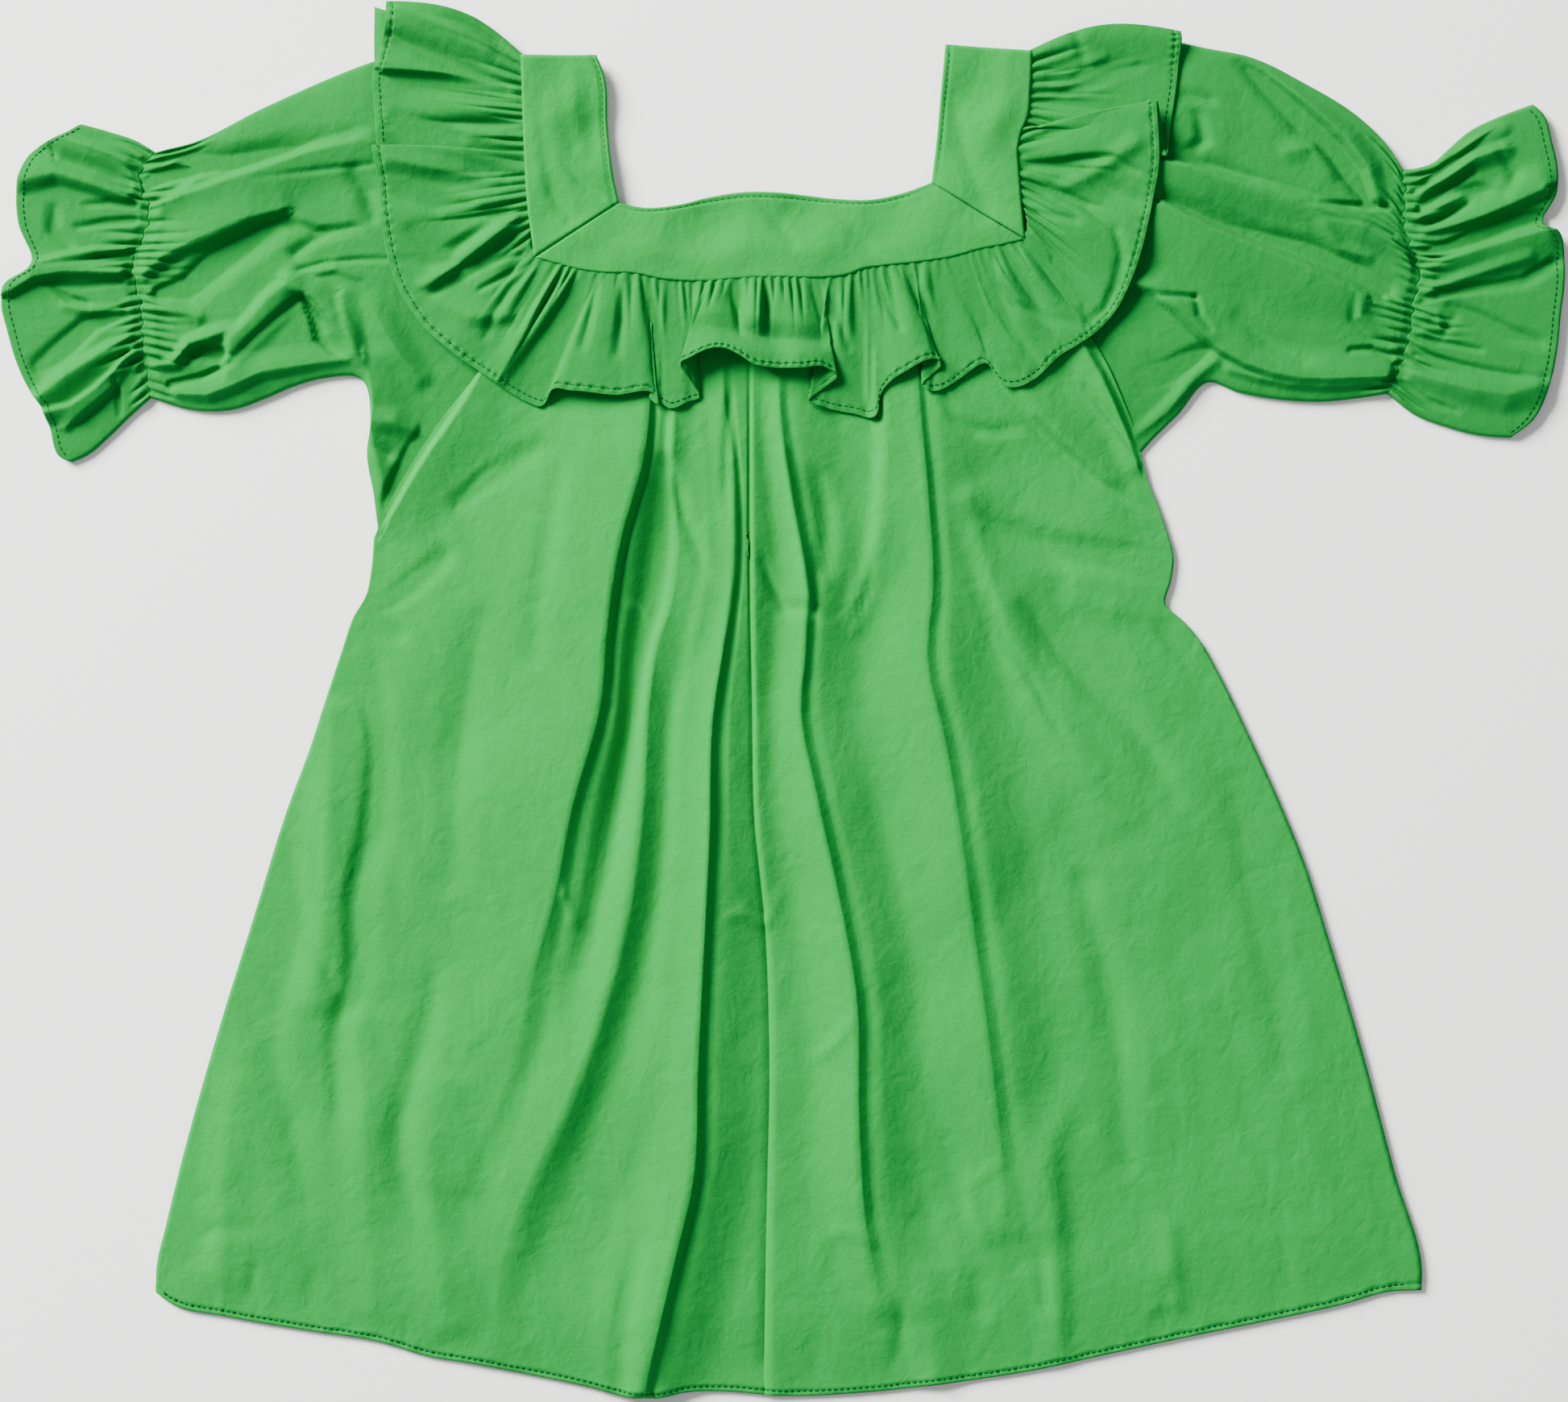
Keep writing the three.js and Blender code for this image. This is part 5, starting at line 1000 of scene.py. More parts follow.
RIGHT_FRILL_FOLDS = {
    "top_lobe": [(322, 262, 1, 5, 5), (340, 276, 2.5, 6, 7), (356, 286, 2.5, 6, 8)],
    "top_line": [
        (314, 253, -2, 3, 3), (324, 262, -2.6, 3, 4), (340, 273, -2, 3, 5), (356, 286, -1, 3, 6),
    ],
    "middle_rib": [(316, 252, 1.5, 3, 4), (330, 260, 3, 4, 6), (345, 270, 3, 5, 8), (358, 274, 2, 6, 8)],
    "middle_line": [(316, 245, -2, 3, 4), (328, 254, -2, 3, 4), (342, 263, -1.4, 4, 5)],
    "swirl": [(356, 272, -0.8, 5, 5), (364, 262, -1.4, 6, 6), (358, 250, -1, 6, 6)],
    "inner_patch": [(336, 254, -0.8, 5, 5), (346, 254, -1.8, 5, 7), (356, 252, -0.8, 5, 6)],
    "rib_2": [(316, 240, 1.5, 3, 4), (328, 246, 2.5, 4, 5), (336, 250, 1.2, 4, 5)],
    "line_2": [(315, 236, -2, 3, 3), (330, 240, -2, 3, 3), (340, 246, -1.2, 3, 3)],
    "lobe_slope": [
        (318, 232, 1, 4, 3), (340, 238, 3.5, 10, 4), (360, 246, 4.5, 16, 5), (377, 254, 4, 16, 6),
    ],
    "black_valley": [
        (315, 223, -2, 3, 3), (330, 225, -4, 4, 4), (345, 230, -4.5, 7, 5), (362, 237, -4.5, 8, 4),
        (376, 240, -2.5, 6, 3),
    ],
    "overlap": [(318, 214, 2, 4, 6), (340, 222, 3.5, 5, 12), (360, 228, 4, 5, 18), (378, 233, 4, 5, 18)],
    "lobe_line": [
        (318, 199, -2.4, 3, 3), (330, 203, -2.2, 3, 4), (348, 206, -1.4, 3, 6), (370, 210, -1.6, 4, 7),
        (382, 218, -1.4, 4, 7),
    ],
    "lobe_rib": [(320, 204, 1.2, 4, 3), (345, 212, 2, 6, 5), (370, 220, 1.4, 6, 6)],
    "loop": [(316, 192, 0.5, 4, 4), (326, 191, 1, 4, 4), (326, 185, 0.8, 4, 4), (318, 184, 0.5, 4, 4)],
    "loop_line": [(317, 187, -0.8, 4, 4), (328, 182, -0.9, 4, 4), (334, 192, -0.5, 5, 5)],
    "lower_shade": [
        (332, 196, -1, 6, 6), (346, 190, -2, 6, 8), (362, 182, -2, 6, 8), (376, 178, -1, 6, 7),
    ],
    "crease_1": [(316, 180, -1.8, 3, 3), (332, 177, -1.6, 3, 3), (346, 174, -0.8, 3, 3)],
    "crease_2": [
        (314, 172, -1.6, 3, 3), (332, 168, -1.2, 3, 3), (352, 163, -1.4, 4, 4), (378, 160, -0.8, 4, 4),
    ],
    "lowest_lobe": [
        (312, 162, 1, 6, 5), (335, 156, 3, 12, 9), (362, 152, 3, 14, 12), (374, 156, 2, 10, 12),
    ],
    "lowest_line": [(308, 158, -1.4, 3, 3), (318, 150, -1.2, 3, 4), (334, 144, -0.6, 3, 4)],
}
print("sleeve folds:", len(LEFT_SLEEVE_FOLDS) + len(RIGHT_SLEEVE_FOLDS))

# %% Flat tubes
TUBE_COLUMNS, UNDER_COLUMNS = 210, 50  # of the upper and of the lower layer
TUBE_CROWDING = 0.35
TUBE_EDGE, EDGE_FOOT = 2 * CLOTH + 0.5, 1.0  # mm: height just inside a tube's two folds, and right at them
ROUND_SHARE, FOLDLESS_SHARE = 0.012, 0.06  # of the width: the round edge, and what folds fade out over
UNDERSIDE = 0.05  # mm: the lower layer's height over the table
SLEEVE_PUFF, PUFF_AT_ELASTIC = 3.6, 0.55  # mm, and the share of it that is left at the elastic
MOST_RISE, SLEEVE_RELIEF = 9.0, 1.7  # mm that folds come close to, and what the tables are multiplied by
CUFF_GATHERS, GATHER_RISE = 27, 2.3
CUFF_PUCKER = (2.4, 0.8, 1.6)  # height, power and depth of its puckers
ELASTIC_DIP, DIP_SHARE = 0.35, 0.035  # the share of the height that is left on the elastic, and its width
PULL_SHARE = 0.05  # the elastic pulls the cloth sideways over this share of the sleeve
FRILL_PACE = 0.35  # a frill is so much shorter than a sleeve
TUBE_LENGTH = 200.0  # mm of cloth along a tube, in its UV map


def puckers(turns, height, power, depth):
    """Round ridges with narrow valleys between them, one for each turn, from -depth to height - depth."""
    return height * np.abs(np.sin(np.pi * turns)) ** power - depth


def gathers(v, u, seed):
    """A wave whose width, height and length along the cloth wander: pulled cloth never repeats."""
    turns = CUFF_GATHERS * v + waves(v, (0.35, 9, seed), (0.2, 23, 2 * seed))
    pull = 0.75 + waves(v, (0.25, 31, seed))
    length = 0.11 + waves(v, (0.05, 17, seed), (0.04, 41, 0))
    return GATHER_RISE * pull * puckers(turns, *CUFF_PUCKER) * (1 - eased(u / length))


def elastic_pull(v, u):
    """How far the elastic draws the cloth to either side, in mm; it dies out away from the elastic."""
    turns = 2 * np.pi * CUFF_GATHERS * v
    wave = 0.7 * np.sin(0.5 * turns + 1.1 * np.sin(7 * v)) + 0.45 * np.sin(0.83 * turns + 2)
    return wave * np.clip(np.minimum(v, 1 - v) / PULL_SHARE, 0, 1) * (1 - eased(u / PULL_SHARE))


def dome(v):
    """1 in the middle of a tube's width and 0 at its two folds."""
    return np.sqrt(np.clip(1 - (2 * v - 1) ** 4, 0, 1))


def flat_tube(plan, stations, rise, folds, pace):
    """Upper layer from v = 0 to 1 at its height, then the lower layer back from 1 to 0 on the table."""
    u, v = np.meshgrid(stations, crowded(np.linspace(0, 1, TUBE_COLUMNS), TUBE_CROWDING), indexing="ij")
    p = plan(u, v)
    p[..., 0] += elastic_pull(v, u * pace)
    x, y = p[..., 0], p[..., 1]
    inner = eased(v / FOLDLESS_SHARE) * eased((1 - v) / FOLDLESS_SHARE)
    above = np.maximum(0, rise(u, v) + SLEEVE_RELIEF * folds_at(folds, x, y) * inner)
    above = above * mixed(ELASTIC_DIP, 1, eased(u * pace / DIP_SHARE))
    round_edge = np.sqrt(np.clip(1 - (1 - np.clip(np.minimum(v, 1 - v) / ROUND_SHARE, 0, 1)) ** 2, 0, 1))
    z = mixed(EDGE_FOOT, TUBE_EDGE, round_edge) + MOST_RISE * np.tanh(above / MOST_RISE)
    upper = add_height(p, lift(x, y) + z)
    ub, vb = np.meshgrid(stations, np.linspace(1, 0, UNDER_COLUMNS)[1:-1], indexing="ij")
    q = plan(ub, vb)
    lower = add_height(q, lift(q[..., 0], q[..., 1]) + UNDERSIDE)
    grid = np.concatenate([upper, lower], axis=1)
    steps = np.linalg.norm(np.diff(grid, axis=1), axis=-1)
    around = np.concatenate([np.zeros((len(stations), 1)), np.cumsum(steps, axis=1)], axis=1)
    along = np.repeat(np.asarray(stations)[:, None] * TUBE_LENGTH, grid.shape[1], axis=1)
    return grid, np.stack([around, along], axis=-1)


# %% Sleeves and frills
def sleeve(name, cut, folds, seed):
    """From the elastic at u = 0 to the seams of strap and raglan at u = 1."""
    seam = joined([curve_through(c) for c in cut["inner"]], [cut["corner"]])

    def inner(share):
        past_corner = eased((np.asarray(share)[..., None] - cut["corner"]) / 0.1)
        return seam(share) + np.array(cut["tuck"]) * past_corner

    def rise(u, v):
        puff = mixed(PUFF_AT_ELASTIC, 1, eased(u / 0.25)) * mixed(1, 0.05, eased((u - 0.5) / 0.4))
        return SLEEVE_PUFF * puff * dome(v) + gathers(v, u, seed)

    plan = patch_between(*[curve_through(cut[side]) for side in ("top", "bottom", "cuff")], inner)
    grid, uv = flat_tube(plan, two_paces(0.2, 46, 104), rise, folds, 1.0)
    piece = thick(surface(f"{name}_cloth", grid, uv, closed=True), SOFT_CLOTH)
    sewn(piece, name)
    return grid


def frill(name, cut, cuff, folds, seed):
    """From the elastic at u = 0 to the free hem at u = 1."""
    def rise(u, v):
        return PUFF_AT_ELASTIC * SLEEVE_PUFF * dome(v) + gathers(v, u * FRILL_PACE, seed)

    plan = patch_between(*[curve_through(line) for line in (cut["top"], cut["bottom"], cuff, cut["hem"])])
    grid, uv = flat_tube(plan, np.linspace(0, 1, 60), rise, folds, FRILL_PACE)
    piece = thick(surface(f"{name}_cloth", grid, uv, closed=True), SOFT_CLOTH)
    sewn(piece, name)
    return grid


left_sleeve_grid = sleeve("left_sleeve", LEFT_SLEEVE, LEFT_SLEEVE_FOLDS, 1.0)
right_sleeve_grid = sleeve("right_sleeve", RIGHT_SLEEVE, RIGHT_SLEEVE_FOLDS, 2.0)
left_frill_grid = frill("left_frill", LEFT_FRILL, LEFT_SLEEVE["cuff"], LEFT_FRILL_FOLDS, 1.0)
right_frill_grid = frill("right_frill", RIGHT_FRILL, RIGHT_SLEEVE["cuff"], RIGHT_FRILL_FOLDS, 2.0)

# %% [markdown]
# ## The yoke
# The neckline is framed by a band in front and two straps, each cut double and joined with
# mitred corners. The front's lie on the back's, which are a little narrower.

# %% Yoke bands
YOKE_GAP = 0.35  # mm of air between the back's bands and what lies beside them
YOKE_OVERLAP = 0.1  # mm that the front's bands reach over their outer seam
BACK_YOKE_INSET = 0.8  # mm: the back's bands are narrower by this
FRONT_YOKE_BASE = YOKE_WALL + 0.8  # mm: its height at the neck edge
SEAM_STACK, STACK_REACH = 3.3, 34.0  # mm that the gathers' allowance lifts the outer seam, and its reach
WAVE_FADE = 16.0  # mm: the bands' waves begin over this length from the outer seam
FRONT_MITRE, BACK_MITRE = 0.0, 0.012  # the share by which a band ends short of its corners
TOPSTITCH, GROOVE, GROOVE_WIDTH = 2.4, 0.8, 0.6  # mm inside the neck edge, and how deep and wide it pulls
BAND_SECTION = 60  # points round a band
SIDE_ROUND, END_ROUND = 0.03, 0.006  # shares of a band's width and length
BAND_CROWDING, END_CROWDING = 0.6, 0.3
SECOND_LAYER = 60.0  # mm in the UV map, from a band's upper side to its lower one


YOKE_FOLDS = {  # (x, y, height, reach left, reach right)
    "left_hollow": [
        (-122, 300, -0.6, 8, 6), (-119, 275, -1.4, 11, 7), (-114, 250, -1.4, 10, 6),
        (-106, 238, -0.6, 7, 5),
    ],
    "left_light": [(-104, 312, 0.5, 8, 8), (-103, 290, 1.0, 9, 9), (-99, 272, 0.5, 6, 6)],
    "left_crease": [(-110, 268, -0.4, 3, 3), (-100, 257, -1.0, 4, 4), (-90, 249, -0.6, 3, 3)],
    "band_facet_1": [(-12, 247, -0.4, 5, 5), (-2, 236, -1.1, 7, 6), (6, 226, -0.6, 5, 5)],
    "band_facet_2": [(26, 243, -0.3, 5, 5), (36, 232, -0.9, 7, 6), (44, 224, -0.4, 5, 5)],
    "right_hollow": [(84, 300, -0.3, 6, 6), (90, 272, -0.9, 9, 8), (100, 248, -0.5, 7, 7)],
}


def yoke_wave(x, y):
    """Slanting waves of a band that the gathers pull, on the stack of seam allowances at its outer edge."""
    away = distance_to(yoke_seam, x, y)
    slanting = 1.1 * np.sin(x / 13 + y / 16 + 0.8 * np.sin(y / 21))
    across = slanting + 0.7 * np.sin(x / 7 - y / 11) + 0.4 * np.sin(y / 5 - x / 19)
    uneven = 1.4 + 0.8 * across + 1.3 * folds_at(YOKE_FOLDS, x, y)
    return SEAM_STACK * (1 - eased(away / STACK_REACH)) + uneven * eased(away / WAVE_FADE)


def no_wave(x, y):
    """The back's bands lie straight on the table."""
    return np.zeros(np.broadcast(x, y).shape)


def rounded(share, edge):
    """0 at shares 0 and 1, and 1 from the edge on, on a quarter circle."""
    within = np.clip(np.minimum(share, 1 - share) / edge, 0, 1)
    return np.sqrt(1 - (1 - within) ** 2)


def band(name, outer, neck, span, columns, base, wave):
    """A flat tube whose walls meet in a round edge at both sides and at both ends."""
    t = np.linspace(0, 1, BAND_SECTION, endpoint=False)
    side = np.where(t < 0.5, 1.0, -1.0)
    across = crowded(1 - np.abs(2 * t - 1), BAND_CROWDING)
    u, v = np.meshgrid(crowded(np.linspace(0, 1, columns), END_CROWDING), across, indexing="ij")
    at = mixed(span[0], span[1], u)
    plan = mixed(curve_through(outer)(at), curve_through(neck)(at), v[..., None])
    x, y = plan[..., 0], plan[..., 1]
    bulge = rounded(v, SIDE_ROUND) * rounded(u, END_ROUND)
    z = base + YOKE_WALL / 2 + side * bulge * YOKE_WALL / 2 + wave(x, y)
    half = BAND_SECTION // 2
    width = np.linalg.norm(plan[:, :1] - plan[:, half : half + 1], axis=-1)
    z = z - GROOVE * bell((1 - v) * width - TOPSTITCH, GROOVE_WIDTH) * (side > 0)
    grid = add_height(plan, z)
    cut = np.stack([x, y + SECOND_LAYER * (side < 0)], axis=-1)
    piece = surface(f"{name}_cloth", grid, cut, closed=True)
    closed_ends(piece)
    sewn(piece, name)


def yoke(which, base, wave, inset, gap, mitre):
    """The three bands of one side of the blouse, moved in from the neck edge and from the outer seam."""
    band(f"{which}_left_strap", moved(LEFT_STRAP_SEAM, gap, 0), moved(NECK_LEFT, -inset, 0),
         (0, 1 - 3 * mitre), 60, base, wave)
    band(f"{which}_neck_band", moved(BAND_SEAM, 0, gap), moved(NECK_FRONT, 0, -inset),
         (mitre, 1 - mitre), 160, base, wave)
    band(f"{which}_right_strap", moved(RIGHT_STRAP_SEAM, -gap, 0), moved(NECK_RIGHT, inset, 0),
         (3 * mitre, 1), 60, base, wave)


yoke("back", 0.0, no_wave, BACK_YOKE_INSET, BACK_YOKE_INSET + YOKE_GAP, BACK_MITRE)
yoke("front", FRONT_YOKE_BASE, yoke_wave, 0.0, -YOKE_OVERLAP, FRONT_MITRE)

# %% [markdown]
# ## The ruffle
# The ruffle is one long strip, gathered along the yoke and free at its hem. Its hem is given by
# rows along the seam: where the rows turn back on themselves, the strip folds over itself in an
# S, with real layers. Near the seam, small gathers come close together and die out unevenly.

# %% The ruffle's hem, and its folds in the same columns as before
RUFFLE_HEM = [
    # length along the seam, x, y, height, bow
    (0, -196.5, 346.5, 8, 9), (8, -197.5, 332, 10, 3), (14, -201, 319, 9, 0), (20, -203.5, 310, 6, 0),
    (28, -203, 300, 5, 0), (37, -202, 288, 7, 0), (44, -201.5, 279, 6, 0), (47, -200.5, 267, 4, 0),
    (50, -203, 274.5, 10, 2), (58, -200.8, 258, 9, 0), (66, -199.7, 243.7, 8, 0),
    (74, -197.8, 230, 7, 0), (79, -196, 220, 7.5, 0), (84, -191, 205, 8.5, 0), (90, -180, 187.5, 9, 0),
    (97, -168, 176, 9, 0), (102, -159.7, 169.3, 8.5, 0), (108, -150, 163, 8, 0),
    (115, -142, 157.3, 6.5, 0), (122, -135, 152.5, 5, 0), (127, -127, 148, 5, 0),
    (131, -119.7, 145.8, 6, 0), (133, -117.8, 148, 8, 0), (135, -115.2, 153, 11, 0),
    (140, -104, 153.2, 12, 0), (148, -83, 151, 12, 0), (155, -63.4, 151.2, 12, 0),
    (157, -61.3, 146.4, 9.5, 0), (160.5, -65.5, 149, 5.4, 0), (165, -60, 147, 3.6, 0),
    (169, -55.5, 144.5, 4.5, 0), (175, -46, 148.2, 5, 0), (179, -41.5, 150.5, 6, 0),
    (182.5, -46.5, 159, 10.5, 0), (185.5, -51, 166, 14.5, 0), (189, -46, 169.3, 17, 0),
    (194, -37, 173.5, 19, 0), (200, -29, 174, 19, 0), (206, -22, 171, 18, 0), (213, -14, 166, 16, 0),
    (220, -5, 164.5, 15, 0), (230, 9, 164.4, 15, 0), (239, 22, 164.4, 13.5, 0), (243, 27, 160, 11, 0),
    (246, 20, 154.5, 8, 0), (249, 12.7, 148.6, 5, 0), (252.5, 20, 145.5, 4.2, 0),
    (259, 34, 142.4, 4.4, 0), (265.5, 47, 142.6, 5.5, 0), (268, 48.3, 151, 9, 0),
    (271, 52.5, 157, 11.5, 0), (276, 62, 163.5, 13, 0), (281, 71.5, 168.5, 13, 0),
    (284.5, 76.6, 168.8, 12, 0), (287.5, 78.3, 165.5, 10.4, 0), (290, 73.5, 161, 7.6, 0),
    (292.5, 69.3, 156.6, 5.4, 0), (295, 71.5, 153.6, 4.4, 0), (298, 78, 153.6, 5, 0),
    (302, 88, 159.5, 7, 0), (306, 97, 166, 9, 0), (309, 101.5, 166.8, 9, 0), (312, 104.5, 162.5, 7, 0),
    (315.5, 108.5, 156.8, 5.2, 0), (321, 117, 155.2, 5, 0), (326, 126, 160, 6, 0),
    (332, 136, 169.6, 8, 0), (340, 147, 176.6, 8.5, 0), (348, 156, 183, 8.5, 0),
    (356, 165.3, 193.4, 9, 0), (365, 172.6, 208, 9.5, 0), (374, 178.6, 226, 10, 0),
    (382, 183, 246, 10.5, 0), (391, 186.4, 268, 12, 0), (400, 185.3, 296.5, 13, 2),
    (404, 188, 283, 9, 0), (407.5, 189.8, 270, 5.4, 0), (414, 192.2, 285, 5.6, 0),
    (421, 194.8, 301, 6.4, 0), (430, 196.6, 317, 7.4, 0), (437, 197.8, 327.5, 7.6, 4),
    (442, 197.3, 331.7, 7, 8),
]
RUFFLE_FOLDS = {
    "upper_shade": [(-194, 330, -1.2, 8, 6), (-165, 316, -2.4, 9, 7), (-137, 303, -1.6, 6, 5)],
    "upper_light": [(-190, 343, 0.6, 7, 7), (-165, 333, 1.4, 8, 8), (-146, 322, 0.8, 6, 6)],
    "left_hollow_1": [(-190, 290, -1, 7, 7), (-180, 284, -2.2, 9, 8), (-160, 280, -1.2, 6, 6)],
    "left_light": [(-195, 268, 1, 7, 7), (-170, 263, 1.8, 9, 8), (-142, 258, 0.8, 5, 5)],
    "left_hollow_2": [(-188, 252, -1, 7, 7), (-177, 247, -2.2, 9, 8), (-155, 246, -1.2, 6, 6)],
    "lobe_hollow": [(-183, 233, -0.8, 7, 7), (-172, 222, -1.8, 8, 8), (-156, 214, -1.2, 5, 5)],
    "lobe_light": [(-170, 198, 0.8, 9, 8), (-152, 190, 1.8, 10, 8), (-136, 190, 1, 6, 5)],
    "lobe_fan_1": [
        (-126, 214, -0.8, 3, 3), (-135, 204, -1.6, 4, 4), (-143, 192, -1.2, 5, 5),
        (-147, 180, -0.5, 4, 4),
    ],
    "lobe_fan_2": [(-116, 211, -0.8, 3, 3), (-124, 198, -1.4, 4, 4), (-131, 184, -0.8, 4, 4)],
    "front_fan_1": [(-92, 208, -0.6, 3, 3), (-95, 192, -1.4, 4, 4), (-99, 176, -0.8, 5, 5)],
    "front_fan_2": [(-80, 207, -0.5, 3, 3), (-80, 190, -1.2, 4, 4), (-82, 172, -0.7, 5, 5)],
    "centre_shade": [(-40, 186, -0.8, 8, 8), (-8, 180, -2.4, 11, 9), (18, 178, -1.4, 9, 8)],
    "right_hollow_1": [(150, 262, -0.6, 6, 6), (165, 252, -1.6, 8, 8), (178, 246, -0.8, 6, 6)],
    "right_light": [(135, 252, 0.6, 6, 6), (155, 262, 1.2, 7, 7), (174, 276, 1.2, 8, 8)],
    "left_step": [(-133, 303, 0.8, 4, 12), (-160, 310, 2.2, 4, 14), (-198, 313, 2.5, 4, 14)],
    "corner_ridge": [
        (-132, 239, 1.2, 4, 8), (-150, 224, 2.6, 4, 8), (-165, 213, 2.8, 4, 8), (-176, 206, 1.6, 4, 8),
    ],
    "corner_trough": [
        (-145, 236, -0.8, 5, 5), (-152, 232, -1.4, 5, 5), (-163, 224, -1.4, 5, 5),
        (-175, 218, -1.2, 5, 5), (-190, 218, -0.6, 5, 5),
    ],
    "corner_black": [
        (-128, 221, -1.0, 3, 3), (-150, 217, -1.6, 3, 3), (-160, 209, -1.6, 3, 3),
        (-173, 202, -0.8, 3, 3),
    ],
    "corner_crease": [(-120, 217, -0.6, 3, 3), (-130, 214, -1.1, 3, 3), (-150, 204, -0.8, 3, 3)],
    "big_fold": [
        (-104, 214, 0.6, 6, 9), (-116, 196, 1.8, 9, 13), (-131, 176, 2.0, 11, 14),
        (-141, 159, 1.2, 12, 14),
    ],
    "left_valley": [
        (-68, 209, -0.4, 3, 3), (-64, 195, -1.4, 4, 4), (-62, 180, -1.8, 4, 4), (-62, 165, -1.4, 4, 4),
    ],
    "band_trough_1": [(-24, 207, -0.5, 3, 3), (-22, 190, -1.1, 4, 4), (-21, 182, -0.4, 4, 4)],
    "band_trough_2": [(-8, 207, -0.5, 3, 3), (-8, 190, -1.1, 4, 4), (-8, 182, -0.4, 4, 4)],
    "band_trough_3": [(15, 205, -0.5, 3, 3), (20, 190, -1.1, 3, 3)],
    "band_trough_4": [(22, 208, -0.5, 3, 3), (26, 195, -1.4, 4, 4), (33, 175, -0.8, 4, 4)],
    "band_trough_5": [(46, 212, -0.5, 3, 3), (50, 200, -1.4, 4, 4), (58, 185, -0.8, 4, 4)],
    "band_trough_6": [
        (62, 215, -0.5, 3, 3), (70, 200, -1.5, 4, 4), (73, 190, -1.4, 4, 4), (76, 172, -0.6, 4, 4),
    ],
    "band_trough_7": [
        (84, 219, -0.5, 3, 3), (88, 205, -1.4, 4, 4), (97, 190, -1.4, 4, 4), (108, 175, -0.6, 4, 4),
    ],
    "band_trough_8": [
        (93, 221, -0.5, 3, 3), (100, 208, -1.5, 4, 4), (110, 190, -1.8, 4, 4), (120, 175, -1.5, 4, 4),
        (128, 163, -0.8, 4, 4),
    ],
    "band_trough_9": [
        (103, 224, -0.5, 3, 3), (107, 205, -1.3, 4, 4), (130, 189, -1.3, 4, 4), (145, 187, -0.5, 4, 4),
    ],
    "strip_boundary": [(43, 205, -0.5, 3, 3), (44, 175, -1.2, 3, 3), (46, 156, -0.8, 3, 3)],
    "right_black": [
        (119, 265, -0.6, 3, 4), (138, 267, -1.6, 3, 5), (150, 269, -1.8, 3, 5), (165, 269, -1.6, 3, 5),
        (175, 262, -0.8, 3, 4),
    ],
    "right_slant": [(125, 260, -0.5, 3, 3), (145, 248, -1.2, 4, 4), (165, 233, -0.6, 4, 4)],
    "right_short": [(120, 243, -0.6, 3, 3), (145, 238, -0.9, 4, 4)],
    "right_corner": [
        (120, 228, -0.6, 3, 3), (128, 222, -1.4, 4, 4), (135, 210, -1.8, 4, 4), (145, 198, -1.4, 4, 4),
        (152, 190, -0.7, 4, 4),
    ],
    "right_arc": [
        (165, 233, -0.6, 4, 4), (168, 220, -1.2, 5, 5), (165, 205, -1.4, 5, 5), (158, 192, -1.0, 4, 4),
        (150, 186, -0.5, 4, 4),
    ],
    "right_upper_black": [
        (124, 303, -0.6, 3, 4), (147, 303, -1.6, 3, 5), (160, 310, -1.5, 3, 5), (178, 315, -0.8, 3, 5),
    ],
    "right_upper_ridge": [(124, 310, 0.6, 5, 4), (145, 312, 1.4, 6, 4), (158, 318, 0.8, 6, 5)],
    "right_wedge": [(145, 332, -1.0, 4, 4), (150, 315, -0.6, 4, 4)],
}
SEAM_LENGTH = RUFFLE_HEM[-1][0]
GATHER_COUNT = 92
FLUTE_COUNT = 0.4 * GATHER_COUNT
RUFFLE_SEAM_TOP = 6.4  # mm
RUFFLE_TUCK = 2.8  # mm: its gathered edge lies under the yoke's edge
ruffle_hem = through([row[0] for row in RUFFLE_HEM], [row[1:] for row in RUFFLE_HEM])
print("ruffle: seam", SEAM_LENGTH, "mm,", GATHER_COUNT, "gathers")


# %% What lies under the ruffle
CELL = 2.0  # mm
MAP_HALF, MAP_SIZE = 400.0, 401
SPREAD_STEPS = 2  # each spreads a height by one cell


def highest_of(grids):
    """The highest point in each cell, which is then spread twice to the cell's neighbours."""
    cells = np.zeros((MAP_SIZE, MAP_SIZE))
    for grid in grids:
        flat = grid.reshape(-1, 3)
        i = np.clip(((flat[:, 0] + MAP_HALF) / CELL).round().astype(int), 0, MAP_SIZE - 1)
        j = np.clip(((flat[:, 1] + MAP_HALF) / CELL).round().astype(int), 0, MAP_SIZE - 1)
        np.maximum.at(cells, (i, j), flat[:, 2])
    for _ in range(SPREAD_STEPS):
        padded = np.pad(cells, 1)
        shifts = [padded[a : a + MAP_SIZE, b : b + MAP_SIZE] for a in range(3) for b in range(3)]
        cells = np.max(shifts, axis=0)
    return cells


def read_map(cells, x, y):
    """The map between its cells: the four cells round a place, mixed by how near each is."""
    fx, fy = (x + MAP_HALF) / CELL, (y + MAP_HALF) / CELL
    i, j = np.floor(fx).astype(int), np.floor(fy).astype(int)
    a, b = fx - i, fy - j
    low = mixed(cells[i, j], cells[i + 1, j], a)
    return mixed(low, mixed(cells[i, j + 1], cells[i + 1, j + 1], a), b)


